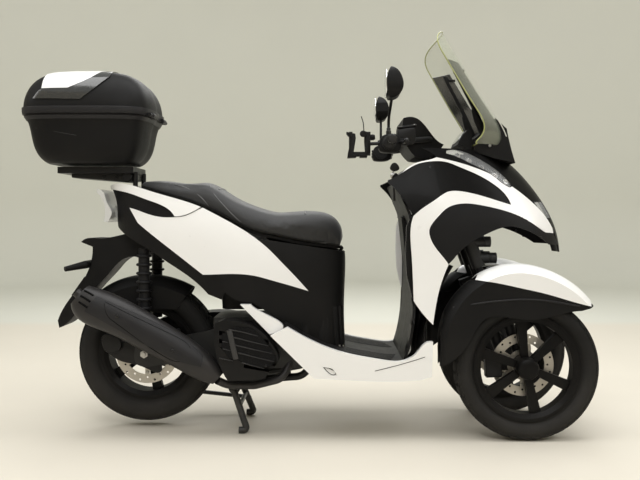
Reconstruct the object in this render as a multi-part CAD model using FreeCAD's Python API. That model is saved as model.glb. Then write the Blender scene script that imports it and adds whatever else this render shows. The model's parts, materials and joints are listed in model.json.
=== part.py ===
import FreeCAD, Part
import math
import os

from FreeCAD import Vector

# Leaning three-wheel scooter, parked on its centre stand.
# X points forward, Y to the rider's left, Z up; the origin is on the ground,
# under the middle of the whole length.

# Driving dimensions
WHEELBASE = 1350.0
SEAT_HEIGHT = 780.0
REAR_AXLE_X = -572.0
STAND_LIFT = 21.0
FRONT_TRACK = 385.0
BODY_HALF_WIDTH = 185.0
COWL_HALF_WIDTH = 235.0
CASTER = 20.0
TRAIL = 68.0

# Tyres, rims and discs
FRONT_TYRE_R = 250.0
FRONT_TYRE_WIDTH = 90.0
FRONT_RIM_R = 178.0
REAR_TYRE_R = 256.0
REAR_TYRE_WIDTH = 130.0
REAR_RIM_R = 165.0
RIM_DEPTH = 19.0
RIM_WALL = 4.0
RIM_FLANGE = 7.0
RIM_WIDTH_SHARE = 0.7
TYRE_SHOULDER_SHARE = 0.86
TYRE_BULGE_SHARE = 0.52
RIM_SEAT_FIT = 0.2
SPOKES = 6
SPOKE_PAIR_TURN = 27.0
FIRST_PAIR_TURN = 69.0
SPOKE_HUB_WIDTH = 24.0
SPOKE_RIM_WIDTH = 38.0
SPOKE_THICKNESS = 22.0
SPOKE_ROOT_SHARE = 0.6
HUB_R = 37.0
HUB_WIDTH = 64.0
AXLE_R = 8.0
AXLE_FIT = 0.2
DISC_THICKNESS = 4.0
FRONT_DISC_R = 110.0
REAR_DISC_R = 115.0
DISC_BAND = 32.0
DISC_ARMS = 6
DISC_ARM_WIDTH = 16.0
DISC_HOLE_R = 4.0
DISC_HOLES = 24
DISC_HOLE_ROW_SHARES = (0.68, 0.3)
DISC_INSET = 40.0
REAR_DISC_INSET = 46.0
CALIPER_LENGTH = 74.0
CALIPER_BITE = 34.0
CALIPER_RISE = 24.0
CALIPER_ARM = 11.0
CALIPER_FILLET = 5.0
FRONT_CALIPER_TURN = 183.0
REAR_CALIPER_TURN = 22.0

# Common walls, gaps and cuts
WALL = 4.0
PANEL_WALL = 5.0
PANEL_STEP = 3.0
GAP = 5.0
SEAM = 1.5
OVERRUN = 20.0
CUT_REACH = 2400.0
PIN_FIT = 0.5
BEND_REACH_SHARE = 0.45
LUG_WIDTH = 10.0
LUG_WALL = 9.0

# Plan of the rear body: stations from the front, and half widths per level
REAR_STATION_SHARES = (0.513, 0.439, 0.313, 0.201, 0.09, -0.021)
REAR_LEVEL_SHARES = (
    (0.30, 0.535, -0.02, (0.64, 0.78, 0.86, 0.82, 0.66, 0.40)),
    (0.52, 0.530, -0.06, (0.60, 0.80, 0.94, 0.92, 0.78, 0.56)),
    (0.68, 0.534, -0.08, (0.60, 0.84, 0.98, 0.99, 0.88, 0.68)),
    (0.82, 0.536, -0.085, (0.58, 0.82, 0.98, 1.00, 0.93, 0.76)),
    (0.95, 0.520, -0.09, (0.50, 0.74, 0.92, 0.97, 0.93, 0.77)),
    (1.05, 0.500, -0.098, (0.42, 0.66, 0.84, 0.90, 0.88, 0.74)),
    (1.17, 0.470, -0.11, (0.34, 0.58, 0.76, 0.82, 0.80, 0.68)),
)

# Plan of the front body: rear edge, stations to the nose, and the nose tip
FRONT_REAR_SHARE = 0.66
FRONT_LEVEL_SHARES = (
    (0.34, 1.10, ((0.76, 1.00), (0.86, 0.94), (0.96, 0.80), (1.04, 0.56))),
    (0.60, 1.12, ((0.76, 1.00), (0.88, 0.94), (0.99, 0.78), (1.07, 0.50))),
    (0.84, 1.128, ((0.76, 0.99), (0.88, 0.93), (1.00, 0.74), (1.085, 0.42))),
    (0.96, 1.112, ((0.76, 0.98), (0.88, 0.90), (0.99, 0.70), (1.07, 0.40))),
    (1.09, 1.070, ((0.76, 0.92), (0.86, 0.82), (0.96, 0.62), (1.03, 0.36))),
    (1.20, 1.018, ((0.74, 0.84), (0.83, 0.75), (0.92, 0.56), (0.98, 0.33))),
    (1.30, 0.945, ((0.72, 0.78), (0.79, 0.69), (0.86, 0.52), (0.91, 0.31))),
)

# Side outlines; every run starts at a corner and ends where the next begins
SIDE_COVER_SHARES = (
    ((-0.033, 1.031), (-0.009, 1.020), (0.027, 0.999), (0.062, 0.988),
     (0.092, 0.988), (0.122, 0.996), (0.147, 1.016)),
    ((0.165, 1.031), (0.213, 0.988), (0.256, 0.947), (0.299, 0.899),
     (0.334, 0.850), (0.372, 0.783), (0.407, 0.719)),
    ((0.440, 0.654), (0.386, 0.684), (0.343, 0.706), (0.300, 0.726),
     (0.257, 0.734), (0.214, 0.733)),
    ((0.167, 0.730),),
    ((-0.007, 0.962),),
)
GRAB_RAIL_SHARES = (
    ((0.160, 1.034), (0.118, 1.060), (0.066, 1.086), (0.013, 1.113),
     (-0.030, 1.135), (-0.074, 1.144)),
    ((-0.104, 1.137),),
    ((-0.103, 1.120), (-0.072, 1.112), (-0.028, 1.095), (0.015, 1.069),
     (0.059, 1.041), (0.082, 1.015)),
    ((0.092, 0.992), (0.122, 1.000), (0.145, 1.018)),
)
TAIL_COVER_SHARES = (
    ((-0.104, 1.125), (-0.087, 1.087), (-0.079, 1.030), (-0.080, 0.992)),
    ((-0.088, 0.954), (-0.049, 0.910), (0.017, 0.847), (0.079, 0.778),
     (0.132, 0.717)),
    ((0.180, 0.641),),
    ((0.215, 0.618),),
    ((0.240, 0.720), (0.160, 0.860), (0.100, 0.960)),
    ((0.120, 1.040), (0.040, 1.080), (-0.040, 1.110)),
)
LOWER_COVER_SHARES = (
    ((0.184, 0.760),),
    ((0.380, 0.710),),
    ((0.300, 0.870),),
    ((0.300, 0.895), (0.406, 0.866), (0.471, 0.848)),
    ((0.545, 0.826),),
    ((0.560, 0.400),),
    ((0.490, 0.400),),
    ((0.422, 0.457), (0.377, 0.509), (0.335, 0.560)),
    ((0.293, 0.607), (0.264, 0.611)),
    ((0.222, 0.657),),
)
SKIRT_SHARES = (
    ((0.388, 0.505), (0.431, 0.462), (0.489, 0.416), (0.557, 0.381),
     (0.625, 0.360), (0.676, 0.354)),
    ((0.700, 0.369), (0.720, 0.398), (0.739, 0.434)),
    ((0.758, 0.440),),
    ((0.755, 0.287),),
    ((0.728, 0.272), (0.659, 0.266), (0.557, 0.270)),
    ((0.456, 0.279),),
    ((0.345, 0.467),),
)
SKIRT_TRIM_SHARES = (
    ((0.266, 0.600),),
    ((0.293, 0.600), (0.335, 0.553), (0.376, 0.504)),
    ((0.341, 0.468),),
)
SKIRT_VENT_SHARES = (
    ((0.478, 0.330),),
    ((0.502, 0.324),),
    ((0.515, 0.294),),
    ((0.497, 0.291),),
)
FLOOR_SHARES = (
    (0.380, 0.520), (0.402, 0.497), (0.431, 0.462), (0.489, 0.412),
    (0.557, 0.377), (0.625, 0.357), (0.676, 0.351), (0.700, 0.362),
)
LEG_SHIELD_SHARES = (
    (0.690, 0.352), (0.703, 0.450), (0.706, 0.617), (0.697, 0.796),
    (0.693, 0.915), (0.697, 0.984), (0.690, 1.060), (0.668, 1.150),
)
LEG_SHIELD_FRONT_SHARES = (
    (0.35, 0.90), (0.45, 0.94), (0.62, 0.96), (0.80, 0.96), (0.96, 0.95),
    (1.06, 0.90), (1.14, 0.80),
)
GLOVE_BOX_SHARES = (0.80, 0.99, 0.62)
GLOVE_BOX_DEPTH = 34.0
GLOVE_BOX_FILLET = 11.0
FLOOR_HALF_WIDTH = 214.0
SKIRT_OUTER_Y = 236.0
TRIM_OUTER_Y = 206.0
RAIL_DEPTH = 20.0
LINER_SHARES = (
    (0.735, 0.300), (0.738, 0.400), (0.746, 0.500), (0.762, 0.600),
    (0.790, 0.700), (0.815, 0.770),
)
LINER_FRONT_SHARES = (
    (0.300, 0.62), (0.40, 0.70), (0.55, 0.80), (0.66, 0.84), (0.780, 0.80),
)
FRONT_COWL_SHARES = (
    ((0.670, 1.158), (0.690, 1.200), (0.720, 1.232), (0.762, 1.250),
     (0.798, 1.272), (0.837, 1.252), (0.869, 1.226), (0.901, 1.202),
     (0.929, 1.172), (0.955, 1.138)),
    ((0.972, 1.124), (1.012, 1.128), (1.049, 1.080), (1.078, 1.015),
     (1.094, 0.965)),
    ((1.100, 0.914),),
    ((1.071, 0.918), (1.035, 0.955), (0.971, 1.007), (0.929, 1.027),
     (0.886, 1.042), (0.854, 1.049), (0.823, 1.046), (0.794, 1.027),
     (0.773, 0.993), (0.755, 0.956), (0.749, 0.931), (0.751, 0.900),
     (0.766, 0.851)),
    ((0.798, 0.780), (0.791, 0.752), (0.777, 0.685), (0.766, 0.604)),
    ((0.758, 0.515), (0.730, 0.568)),
    ((0.709, 0.620), (0.707, 0.720), (0.704, 0.820), (0.701, 0.919),
     (0.703, 0.956)),
    ((0.709, 0.993), (0.700, 1.060), (0.688, 1.110)),
)
COWL_INFILL_SHARES = (
    ((0.640, 1.150), (0.690, 1.195), (0.718, 1.223), (0.762, 1.239),
     (0.796, 1.237), (0.833, 1.215), (0.879, 1.183), (0.925, 1.139),
     (0.955, 1.095)),
    ((0.971, 1.044), (0.912, 1.073), (0.858, 1.097), (0.826, 1.105),
     (0.801, 1.102), (0.768, 1.068), (0.732, 1.027)),
    ((0.709, 0.993), (0.690, 1.050), (0.665, 1.110)),
)
ARCH_PANEL_SHARES = (
    ((0.798, 0.780), (0.766, 0.851), (0.751, 0.900), (0.749, 0.931),
     (0.755, 0.956), (0.773, 0.993), (0.794, 1.027), (0.823, 1.046),
     (0.854, 1.049), (0.886, 1.042), (0.929, 1.027), (0.971, 1.007),
     (1.035, 0.955), (1.071, 0.918)),
    ((1.100, 0.914),),
    ((1.118, 0.860),),
    ((1.080, 0.862), (1.059, 0.888), (1.027, 0.918), (0.995, 0.938),
     (0.973, 0.946), (0.943, 0.942), (0.909, 0.922), (0.877, 0.896),
     (0.845, 0.862)),
    ((0.813, 0.807),),
)
SLIT_LAMP_SHARES = (
    ((0.800, 1.289), (0.839, 1.290), (0.867, 1.274), (0.893, 1.252),
     (0.926, 1.218), (0.959, 1.173)),
    ((0.976, 1.135),),
    ((0.972, 1.127), (0.955, 1.141), (0.929, 1.175), (0.901, 1.205),
     (0.869, 1.229), (0.837, 1.255)),
    ((0.799, 1.276),),
)
NOSE_FRONT_SHARES = (
    (0.82, 0.16), (0.92, 0.24), (1.01, 0.33), (1.09, 0.44), (1.17, 0.56),
    (1.24, 0.72), (1.31, 0.92),
)
HEADLAMP_SHARES = (
    ((1.010, 1.060),),
    ((1.160, 1.060),),
    ((1.160, 0.985),),
    ((1.030, 0.985),),
)
HEADLAMP_INNER_Y = 22.0
HEADLAMP_OUTER_Y = 84.0
NOSE_CHIN_SHARES = (
    ((0.700, 1.330),),
    ((1.150, 1.330),),
    ((1.150, 0.820),),
    ((1.060, 0.835), (1.030, 0.900), (0.985, 0.940), (0.940, 0.980)),
    ((0.900, 1.010), (0.860, 1.120)),
)
SCREEN_BASE_SHARES = (
    ((0.880, 1.350), (0.905, 1.385)),
    ((0.937, 1.444),),
    ((0.967, 1.396), (0.977, 1.315)),
    ((0.990, 1.238),),
    ((0.930, 1.262),),
    ((0.880, 1.290),),
)
SCREEN_CENTRE_SHARES = (
    (0.806, 1.862), (0.839, 1.768), (0.877, 1.660), (0.925, 1.528),
    (0.958, 1.444), (0.984, 1.350), (0.990, 1.262),
)
SCREEN_FRONT_SHARES = (
    (1.262, 0.28), (1.36, 0.46), (1.46, 0.66), (1.58, 0.80), (1.69, 0.82),
    (1.78, 0.66), (1.84, 0.34),
)
SCREEN_SWEEP = 92.0
SCREEN_SWEEP_SHARES = (-1.0, -0.6, 0.0, 0.6, 1.0)
SCREEN_THICKNESS = 5.0
STAY_SHARES = ((0.906, 1.368), (0.862, 1.500), (0.824, 1.680))
STAY_Y = 86.0
STAY_R = 4.5

# Seat: stations with bottom, top and half width
SEAT_STATION_SHARES = (
    (-0.012, 1.120, 1.154, 0.50),
    (0.020, 1.108, 1.156, 0.62),
    (0.085, 1.082, 1.148, 0.74),
    (0.150, 1.048, 1.147, 0.80),
    (0.176, 1.026, 1.142, 0.82),
    (0.212, 0.994, 1.106, 0.84),
    (0.256, 0.952, 1.062, 0.87),
    (0.330, 0.908, 1.016, 0.88),
    (0.400, 0.882, 1.012, 0.80),
    (0.460, 0.866, 1.014, 0.66),
    (0.500, 0.858, 0.998, 0.52),
    (0.530, 0.852, 0.940, 0.40),
)
SEAT_SHOULDER_SHARES = ((1.00, 0.00), (1.03, 0.38), (0.96, 0.70), (0.66, 0.93), (0.0, 1.0))
SEAT_BASE_THICKNESS = 9.0
SEAT_BASE_INSET = 22.0
SEAT_HINGE_SHARES = (0.528, 0.842)
SEAT_HINGE_R = 7.0
SEAT_HINGE_PIN_R = 4.0
SEAT_HINGE_STRAP_Y = 20.0
SEAT_HINGE_EAR_Y = 34.0
SEAT_HINGE_STRAP = 5.0
SEAT_BAR_SHARES = (0.4517, 0.70)
SEAT_BAR_R = 9.0

# Storage bin under the seat
BIN_SHARES = (0.195, 0.425, 0.560, 0.835)
BIN_HALF_WIDTH = 94.0
BIN_CORNER = 40.0
BIN_DRAFT = 12.0

# Tail lamp and rear mudguard
TAIL_LAMP_SHARES = (
    ((-0.129, 1.120), (-0.113, 1.109), (-0.100, 1.054), (-0.088, 1.008),
     (-0.092, 0.985)),
    ((-0.100, 0.965),),
    ((-0.109, 0.969), (-0.106, 1.023), (-0.113, 1.070)),
    ((-0.127, 1.101),),
)
TAIL_LAMP_HALF_WIDTH = 92.0
REAR_FENDER_SHARES = (
    ((-0.177, 0.872), (-0.169, 0.884), (-0.125, 0.890), (-0.077, 0.902)),
    ((-0.022, 0.932),),
    ((0.020, 0.830),),
    ((-0.018, 0.800), (-0.077, 0.774), (-0.102, 0.725), (-0.124, 0.685),
     (-0.174, 0.580), (-0.221, 0.484)),
    ((-0.236, 0.470),),
    ((-0.240, 0.504), (-0.202, 0.620), (-0.167, 0.706), (-0.150, 0.780)),
    ((-0.146, 0.850),),
)
REAR_FENDER_HALF_WIDTH = 62.0
INDICATOR_SHARES = ((-0.160, 0.768), (-0.200, 0.752))
INDICATOR_R = 14.0
INDICATOR_SPREAD = 142.0
INDICATOR_KNEE_SHARE = 0.62
INDICATOR_TIP_R = 9.0
PLATE_LINE_SHARES = ((-0.167, 0.706), (-0.202, 0.620))
PLATE_LIFT = 4.0
PLATE_BACK = 10.0
PLATE_HALF_WIDTH = 56.0
PLATE_HOLE_R = 3.5
PLATE_HOLE_SPACING = 90.0

# Wheels' mudguards: turn from the rear (degrees), radius and half width shares
FENDER_STATION_SHARES = (
    (200.0, 1.24, 0.94), (176.0, 1.24, 1.00), (150.0, 1.36, 1.04),
    (122.0, 1.44, 1.04), (97.0, 1.44, 1.02), (72.0, 1.36, 0.98),
    (48.0, 1.29, 0.90), (28.0, 1.22, 0.74), (14.0, 1.16, 0.50),
)
FENDER_HALF_WIDTH = 56.0
FENDER_WALL = 3.0
FENDER_INNER_R_SHARE = 0.55
FENDER_SHOULDER_SHARE = 0.5
FENDER_SHARES = (
    ((0.867, 0.712), (0.899, 0.760), (0.968, 0.800), (1.040, 0.780),
     (1.100, 0.710), (1.140, 0.640)),
    ((1.175, 0.596),),
    ((1.134, 0.577), (1.100, 0.570), (1.063, 0.554), (1.025, 0.541),
     (0.969, 0.544), (0.920, 0.554), (0.890, 0.544), (0.875, 0.518),
     (0.860, 0.479), (0.849, 0.440), (0.830, 0.395), (0.807, 0.359)),
    ((0.777, 0.330),),
    ((0.779, 0.479), (0.790, 0.570), (0.800, 0.616)),
)
FENDER_CAP_SHARES = (
    ((0.867, 0.712), (0.899, 0.770), (0.968, 0.820), (1.040, 0.800),
     (1.100, 0.730), (1.160, 0.650)),
    ((1.160, 0.596), (1.103, 0.622), (1.035, 0.656), (0.981, 0.677),
     (0.931, 0.696)),
)
HUGGER_STATION_SHARES = (
    (150.0, 1.14, 0.98), (120.0, 1.12, 1.00), (90.0, 1.10, 1.00), (72.0, 1.10, 0.98), (55.0, 1.12, 0.96),
)
HUGGER_HALF_WIDTH = 72.0

# Fork legs, knuckles and tilting arms
KINGPIN_INSET = 74.5
FORK_TUBE_R = 16.5
FORK_SLIDER_R = 20.0
FORK_SPREAD = 30.0
FORK_CROWN_Z_SHARE = 0.700
FORK_CROWN_HEIGHT = 34.0
FORK_SLIDER_TOP_Z_SHARE = 0.560
AXLE_BOSS_R = 24.0
STEM_R = 13.0
KNUCKLE_R = 24.0
KNUCKLE_HEIGHT = 120.0
KNUCKLE_Z_SHARE = 0.832
ARM_UPPER_Z_SHARE = 0.876
ARM_LOWER_Z_SHARE = 0.802
ARM_X_OFFSET = 62.0
ARM_HEIGHT = 30.0
ARM_DEPTH = 24.0
ARM_BOSS_R = 19.0
ARM_PIN_R = 7.0
STEER_ARM_LENGTH = 76.0
STEER_ARM_WIDTH = 24.0
STEER_ARM_THICKNESS = 10.0
TIE_ROD_R = 7.0
TIE_ROD_EYE_R = 13.0
TIE_ROD_EYE_HEIGHT = 18.0

# Frame
MAIN_TUBE_R = 24.0
RAIL_TUBE_R = 13.0
HEAD_TUBE_R = 29.0
HEAD_TUBE_WALL = 7.0
COLUMN_R = 14.0
BEND_R = 60.0
HEAD_LOW_Z_SHARE = 0.770
HEAD_HIGH_Z_SHARE = 1.120
FRAME_NECK_Z_SHARE = 0.93
FRAME_SPINE_SHARES = ((0.748, 0.62), (0.736, 0.29), (0.50, 0.275), (0.46, 0.38), (0.455, 0.52))
FRAME_RAIL_SHARES = ((0.455, 0.50), (0.450, 0.79), (0.30, 0.84), (0.12, 0.93))
FRAME_TAIL_SHARES = ((0.05, 0.99), (-0.05, 1.06))
FRAME_LOWER_SHARES = ((0.455, 0.50), (0.44, 0.26))
FRAME_STAND_SHARES = ((0.33, 0.235), (0.232, 0.235))
FRAME_RAIL_Y = 112.0
FRAME_TAIL_Y = 62.0
FRAME_LOWER_Y = 72.0

# Handlebar and what it carries
BAR_R = 11.0
GRIP_R = 17.0
GRIP_LENGTH = 118.0
GRIP_END_Y = 346.0
GRIP_SHARES = (0.647, 1.317)
LEVER_R = 6.0
LEVER_REACH = 48.0
LEVER_BALL_R = 9.0
BAR_SHOULDER_Y = 90.0
BAR_BEND_R = 50.0
BAR_TOP_Z_SHARE = 1.35
SWITCH_R = 26.0
SWITCH_LENGTH = 52.0
BAR_COVER_SHARES = (
    ((0.690, 1.440), (0.736, 1.431), (0.758, 1.394)),
    ((0.805, 1.330),),
    ((0.790, 1.292), (0.774, 1.272)),
    ((0.721, 1.266), (0.700, 1.310)),
)
BAR_COVER_HALF_WIDTH = 135.0
BAR_COVER_PLAN_SHARES = ((0.680, 0.98), (0.705, 1.0), (0.740, 0.86), (0.775, 0.62), (0.815, 0.36))
MIRROR_Y = 305.0
MIRROR_HALF_WIDTH = 66.0
MIRROR_SHARES = (
    ((0.645, 1.623), (0.635, 1.581), (0.635, 1.530)),
    ((0.641, 1.495), (0.652, 1.495)),
    ((0.667, 1.509), (0.674, 1.543), (0.671, 1.572), (0.659, 1.608)),
)
MIRROR_STEM_R = 5.0
MIRROR_STEM_RISE = 60.0
MIRROR_STEM_SHARES = (0.652, 1.53)
MIRROR_FACE_SHARES = (
    (1.495, -0.55), (1.490, 0.45), (1.520, 0.92), (1.565, 1.00), (1.612, 0.88),
    (1.628, 0.30), (1.622, -0.45), (1.590, -0.96), (1.535, -0.98),
)
POD_SHARES = (
    ((0.840, 1.327), (0.854, 1.373)),
    ((0.869, 1.398),),
    ((0.878, 1.380),),
    ((0.878, 1.300),),
)
POD_HALF_WIDTH = 80.0
HOLDER_Y = 205.0
HOLDER_SHARES = (0.545, 0.600, 1.262, 1.366)
HOLDER_ARM = 12.0
HOLDER_WIDTH = 26.0

# Engine, radiator cover, exhaust and rear suspension
ENGINE_SHARES = (0.190, 0.420, 0.300, 0.530)
ENGINE_HALF_WIDTH = 135.0
CYLINDER_SHARES = (0.400, 0.430, 0.400, 0.530)
CYLINDER_HALF_WIDTH = 80.0
CASE_SHARES = (
    ((0.045, 0.500), (0.150, 0.520), (0.250, 0.500)),
    ((0.300, 0.420),),
    ((0.290, 0.270), (0.180, 0.235), (0.060, 0.245)),
    ((-0.040, 0.280), (-0.050, 0.360), (-0.020, 0.450)),
)
CASE_INNER_Y = 84.0
CASE_WIDTH = 92.0
RAD_COVER_SHARES = (
    ((0.203, 0.520),),
    ((0.226, 0.535), (0.258, 0.528)),
    ((0.294, 0.513), (0.330, 0.466)),
    ((0.362, 0.390), (0.365, 0.357)),
    ((0.345, 0.314),),
    ((0.330, 0.276),),
    ((0.237, 0.264), (0.214, 0.340), (0.203, 0.416)),
)
RAD_COVER_DEPTH = 62.0
RAD_COVER_FACE_Y = 226.0
LOUVRES = 5
LOUVRE_SHARES = (0.241, 0.340, 0.478)
LOUVRE_DROP_SHARES = (0.020, 0.030, 0.050)
LOUVRE_STEP_SHARES = (0.009, -0.0335)
LOUVRE_TAIL_SHARES = (
    (((0.214, 0.488),), ((0.229, 0.484),), ((0.230, 0.466),), ((0.214, 0.468),)),
    (((0.214, 0.452),), ((0.231, 0.448),), ((0.232, 0.430),), ((0.214, 0.432),)),
    (((0.215, 0.416),), ((0.233, 0.412),), ((0.232, 0.390),)),
)
MUFFLER_STATION_SHARES = (
    (-0.150, 0.640, 0.115, 0.60), (-0.128, 0.606, 0.165, 0.90),
    (-0.060, 0.548, 0.180, 1.00), (0.030, 0.466, 0.165, 1.00),
    (0.110, 0.386, 0.150, 0.96), (0.172, 0.312, 0.120, 0.84),
    (0.208, 0.268, 0.070, 0.50),
)
MUFFLER_HALF_WIDTH = 48.0
MUFFLER_Y = 186.0
MUFFLER_TILT = 43.0
MUFFLER_POINTS = 12
GUARD_SHARES = (
    ((-0.098, 0.640), (-0.020, 0.580), (0.070, 0.505), (0.130, 0.440)),
    ((0.172, 0.375),),
    ((0.170, 0.330), (0.130, 0.345)),
    ((0.060, 0.400), (-0.020, 0.470), (-0.080, 0.530)),
    ((-0.128, 0.575),),
)
GUARD_LIFT = 4.0
OUTLET_R = 17.0
OUTLET_LENGTH = 16.0
PIPE_Y = 150.0
PIPE_R = 14.0
PIPE_SHARES = ((0.205, 0.258), (0.230, 0.226), (0.300, 0.226), (0.370, 0.256), (0.395, 0.330))
SHOCK_TOP_SHARES = (0.001, 0.845)
SHOCK_BOTTOM_SHARES = (0.001, 0.495)
SHOCK_Y = 104.0
SHOCK_BODY_R = 20.0
SHOCK_COIL_R = 28.0
SHOCK_WIRE_R = 5.0
SHOCK_COILS = 8
SWING_ARM_Y = 78.0
SWING_ARM_THICKNESS = 12.0
SWING_ARM_SHARES = (
    ((-0.022, 0.400), (0.030, 0.415)),
    ((0.190, 0.470),),
    ((0.190, 0.330),),
    ((0.030, 0.300), (-0.022, 0.310)),
)
COIL_SPAN_SHARE = 0.8
HUGGER_FOOT_SHARE = 0.62

# Stands
STAND_PIVOT_SHARES = (0.239, 0.192)
STAND_FOOT_SHARES = (0.278, 0.0)
STAND_HALF_WIDTH = 96.0
STAND_FOOT_SPREAD = 128.0
STAND_TUBE_R = 12.0
STAND_FOOT_TOE = 30.0
STAND_TIE_SHARE = 0.42
STAND_PEG_SHARE = 0.60
STAND_PEG_SHARES = ((0.262, 0.072), (0.122, 0.098))
STAND_PEG_R = 8.0
SIDE_PIVOT_SHARES = (0.370, 0.205)
SIDE_TIP_SHARES = (0.271, 0.186)
SIDE_STAND_Y = 142.0
SIDE_STAND_R = 9.0
SIDE_PIN_R = 6.0
SIDE_LUG_Y = 87.0

# Top box and rack
BOX_FRONT_X_SHARE = 0.017
BOX_REAR_X_SHARE = -0.318
BOX_HALF_WIDTH = 198.0
BOX_SQUARENESS = 4.6
BOX_POINTS = 28
TUB_LEVEL_SHARES = ((1.236, 0.66), (1.258, 0.76), (1.34, 0.88), (1.44, 0.97), (1.452, 1.0))
LID_LEVEL_SHARES = ((1.459, 1.0), (1.50, 1.0), (1.56, 0.95), (1.61, 0.84), (1.645, 0.66), (1.664, 0.40))
BOX_WALL = 4.0
LID_COVER_LIFT = 3.0
LID_COVER_SHARES = (
    ((-0.250, 1.566),),
    ((-0.181, 1.568), (-0.145, 1.600), (-0.1155, 1.637)),
    ((-0.1155, 1.760),),
    ((-0.250, 1.760),),
)
LID_LENS_SHARES = (
    ((-0.272, 1.519), (-0.262, 1.545)),
    ((-0.250, 1.566),),
    ((-0.181, 1.568), (-0.145, 1.600), (-0.1155, 1.637)),
    ((-0.1155, 1.760),),
    ((-0.0786, 1.760),),
    ((-0.0786, 1.625), (-0.110, 1.570)),
    ((-0.148, 1.515),),
)
LID_HINGE_SHARES = (0.021, 1.458)
LID_HINGE_Y = 118.0
LID_HINGE_LENGTH = 34.0
LID_HINGE_R = 6.0
LID_LEAF_LENGTH = 18.0
LATCH_SHARES = (1.475, 1.560)
LATCH_HALF_WIDTH = 30.0
LATCH_FILLET = 6.0
RACK_SHARES = (-0.233, -0.030, 1.192, 1.222)
RACK_HALF_WIDTH = 92.0
RACK_TUBE_R = 9.0
RACK_FOOT_SHARES = ((-0.03, 1.20), (-0.03, 1.05))


def x_at(share):
    """Place along the wheelbase, from the rear axle."""
    return REAR_AXLE_X + share * WHEELBASE


def z_at(share):
    """Height as a share of the seat height."""
    return share * SEAT_HEIGHT


FRONT_AXLE_X = x_at(1.0)
FRONT_AXLE_Z = FRONT_TYRE_R
REAR_AXLE_Z = REAR_TYRE_R + STAND_LIFT
WHEEL_Y = FRONT_TRACK / 2
KINGPIN_Y = WHEEL_Y - KINGPIN_INSET
TURN_DOWN = Vector(math.sin(math.radians(CASTER)), 0, -math.cos(math.radians(CASTER)))
TURN_FORE = Vector(math.cos(math.radians(CASTER)), 0, math.sin(math.radians(CASTER)))
Y_AXIS = Vector(0, 1, 0)


def turn_axis(z, y=0.0):
    """Point on the raked steering line at a height."""
    x = FRONT_AXLE_X + TRAIL - z * math.tan(math.radians(CASTER))
    return Vector(x, y, z)


def curve(points):
    """Line through two points, or a smooth curve through more."""
    if len(points) == 2:
        return Part.LineSegment(points[0], points[1]).toShape()
    spline = Part.BSplineCurve()
    spline.interpolate(points)
    return spline.toShape()


def closed_curve(points):
    """Smooth closed curve through the points."""
    spline = Part.BSplineCurve()
    spline.interpolate(Points=points, PeriodicFlag=True)
    return Part.Wire([spline.toShape()])


def run_wire(runs, place):
    """Closed wire from runs of share points, set in space by place(a, b)."""
    starts = [place(*run[0]) for run in runs]
    edges = []
    for index, run in enumerate(runs):
        points = [place(*point) for point in run]
        edges.append(curve(points + [starts[(index + 1) % len(runs)]]))
    return Part.Wire(edges)


def side_line(shares, y):
    """Points of a side line at one width."""
    return [Vector(x_at(x), y, z_at(z)) for x, z in shares]


def side_prism(runs, y_from, y_to):
    """Side outline pushed along Y."""
    wire = run_wire(runs, lambda x, z: Vector(x_at(x), y_from, z_at(z)))
    return Part.Face(wire).extrude(Vector(0, y_to - y_from, 0))


def wide_prism(runs, half_width):
    """Side outline pushed to both sides of the middle plane."""
    return side_prism(runs, -half_width, half_width)


def strip_prism(line_shares, depth, half_width):
    """Strip of even thickness that follows a side line, pushed across."""
    spline = Part.BSplineCurve()
    spline.interpolate([Vector(x_at(x), -half_width, z_at(z)) for x, z in line_shares])
    edge = spline.toShape()
    face = edge.extrude(Vector(0, 2 * half_width, 0))
    return face.extrude(depth)


def cylinder(start, end, radius):
    """Round bar between two points."""
    along = end - start
    return Part.makeCylinder(radius, along.Length, start, along)


def pipe_path(points, bend):
    """Straight runs joined by tangent arcs."""
    edges = []
    last = points[0]
    for index in range(1, len(points) - 1):
        corner = points[index]
        back = (points[index - 1] - corner).normalize()
        ahead = (points[index + 1] - corner).normalize()
        half_turn = math.acos(max(-1.0, min(1.0, back.dot(ahead)))) / 2
        shorter = min((points[index - 1] - corner).Length, (points[index + 1] - corner).Length)
        reach = min(bend / math.tan(half_turn), BEND_REACH_SHARE * shorter)
        start = corner + back * reach
        end = corner + ahead * reach
        inward = (back + ahead).normalize()
        radius = reach * math.tan(half_turn)
        centre = corner + inward * (radius / math.sin(half_turn))
        middle = centre - inward * radius
        edges.append(Part.LineSegment(last, start).toShape())
        edges.append(Part.Arc(start, middle, end).toShape())
        last = end
    edges.append(Part.LineSegment(last, points[-1]).toShape())
    return Part.Wire(edges)


def pipe(points, radius, bend=BEND_R):
    """Round tube, solid inside, along straight runs and arcs."""
    path = pipe_path(points, bend)
    ring = Part.Wire([Part.makeCircle(radius, points[0], points[1] - points[0])])
    return path.makePipeShell([ring], True, False, 2)


def mirrored(shape):
    """The same piece on the other side."""
    return shape.mirror(Vector(0, 0, 0), Y_AXIS)


def both(shape):
    """A piece and its twin in one node."""
    return Part.makeCompound([shape, mirrored(shape)])


def fuse(first, *others):
    """One solid from several that meet."""
    return first.fuse(list(others)).removeSplitter()


def revolve_y(points, x, z):
    """Ring from (radius, y) points, turned about an axle along Y."""
    corners = [Vector(x, y, z + radius) for radius, y in points]
    wire = Part.makePolygon(corners + corners[:1])
    return Part.Face(wire).revolve(Vector(x, 0, z), Y_AXIS, 360)


def across(x_share, z_share, half_width, radius):
    """Round bar from side to side."""
    middle = Vector(x_at(x_share), 0, z_at(z_share))
    return cylinder(middle - Y_AXIS * half_width, middle + Y_AXIS * half_width, radius)


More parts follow.
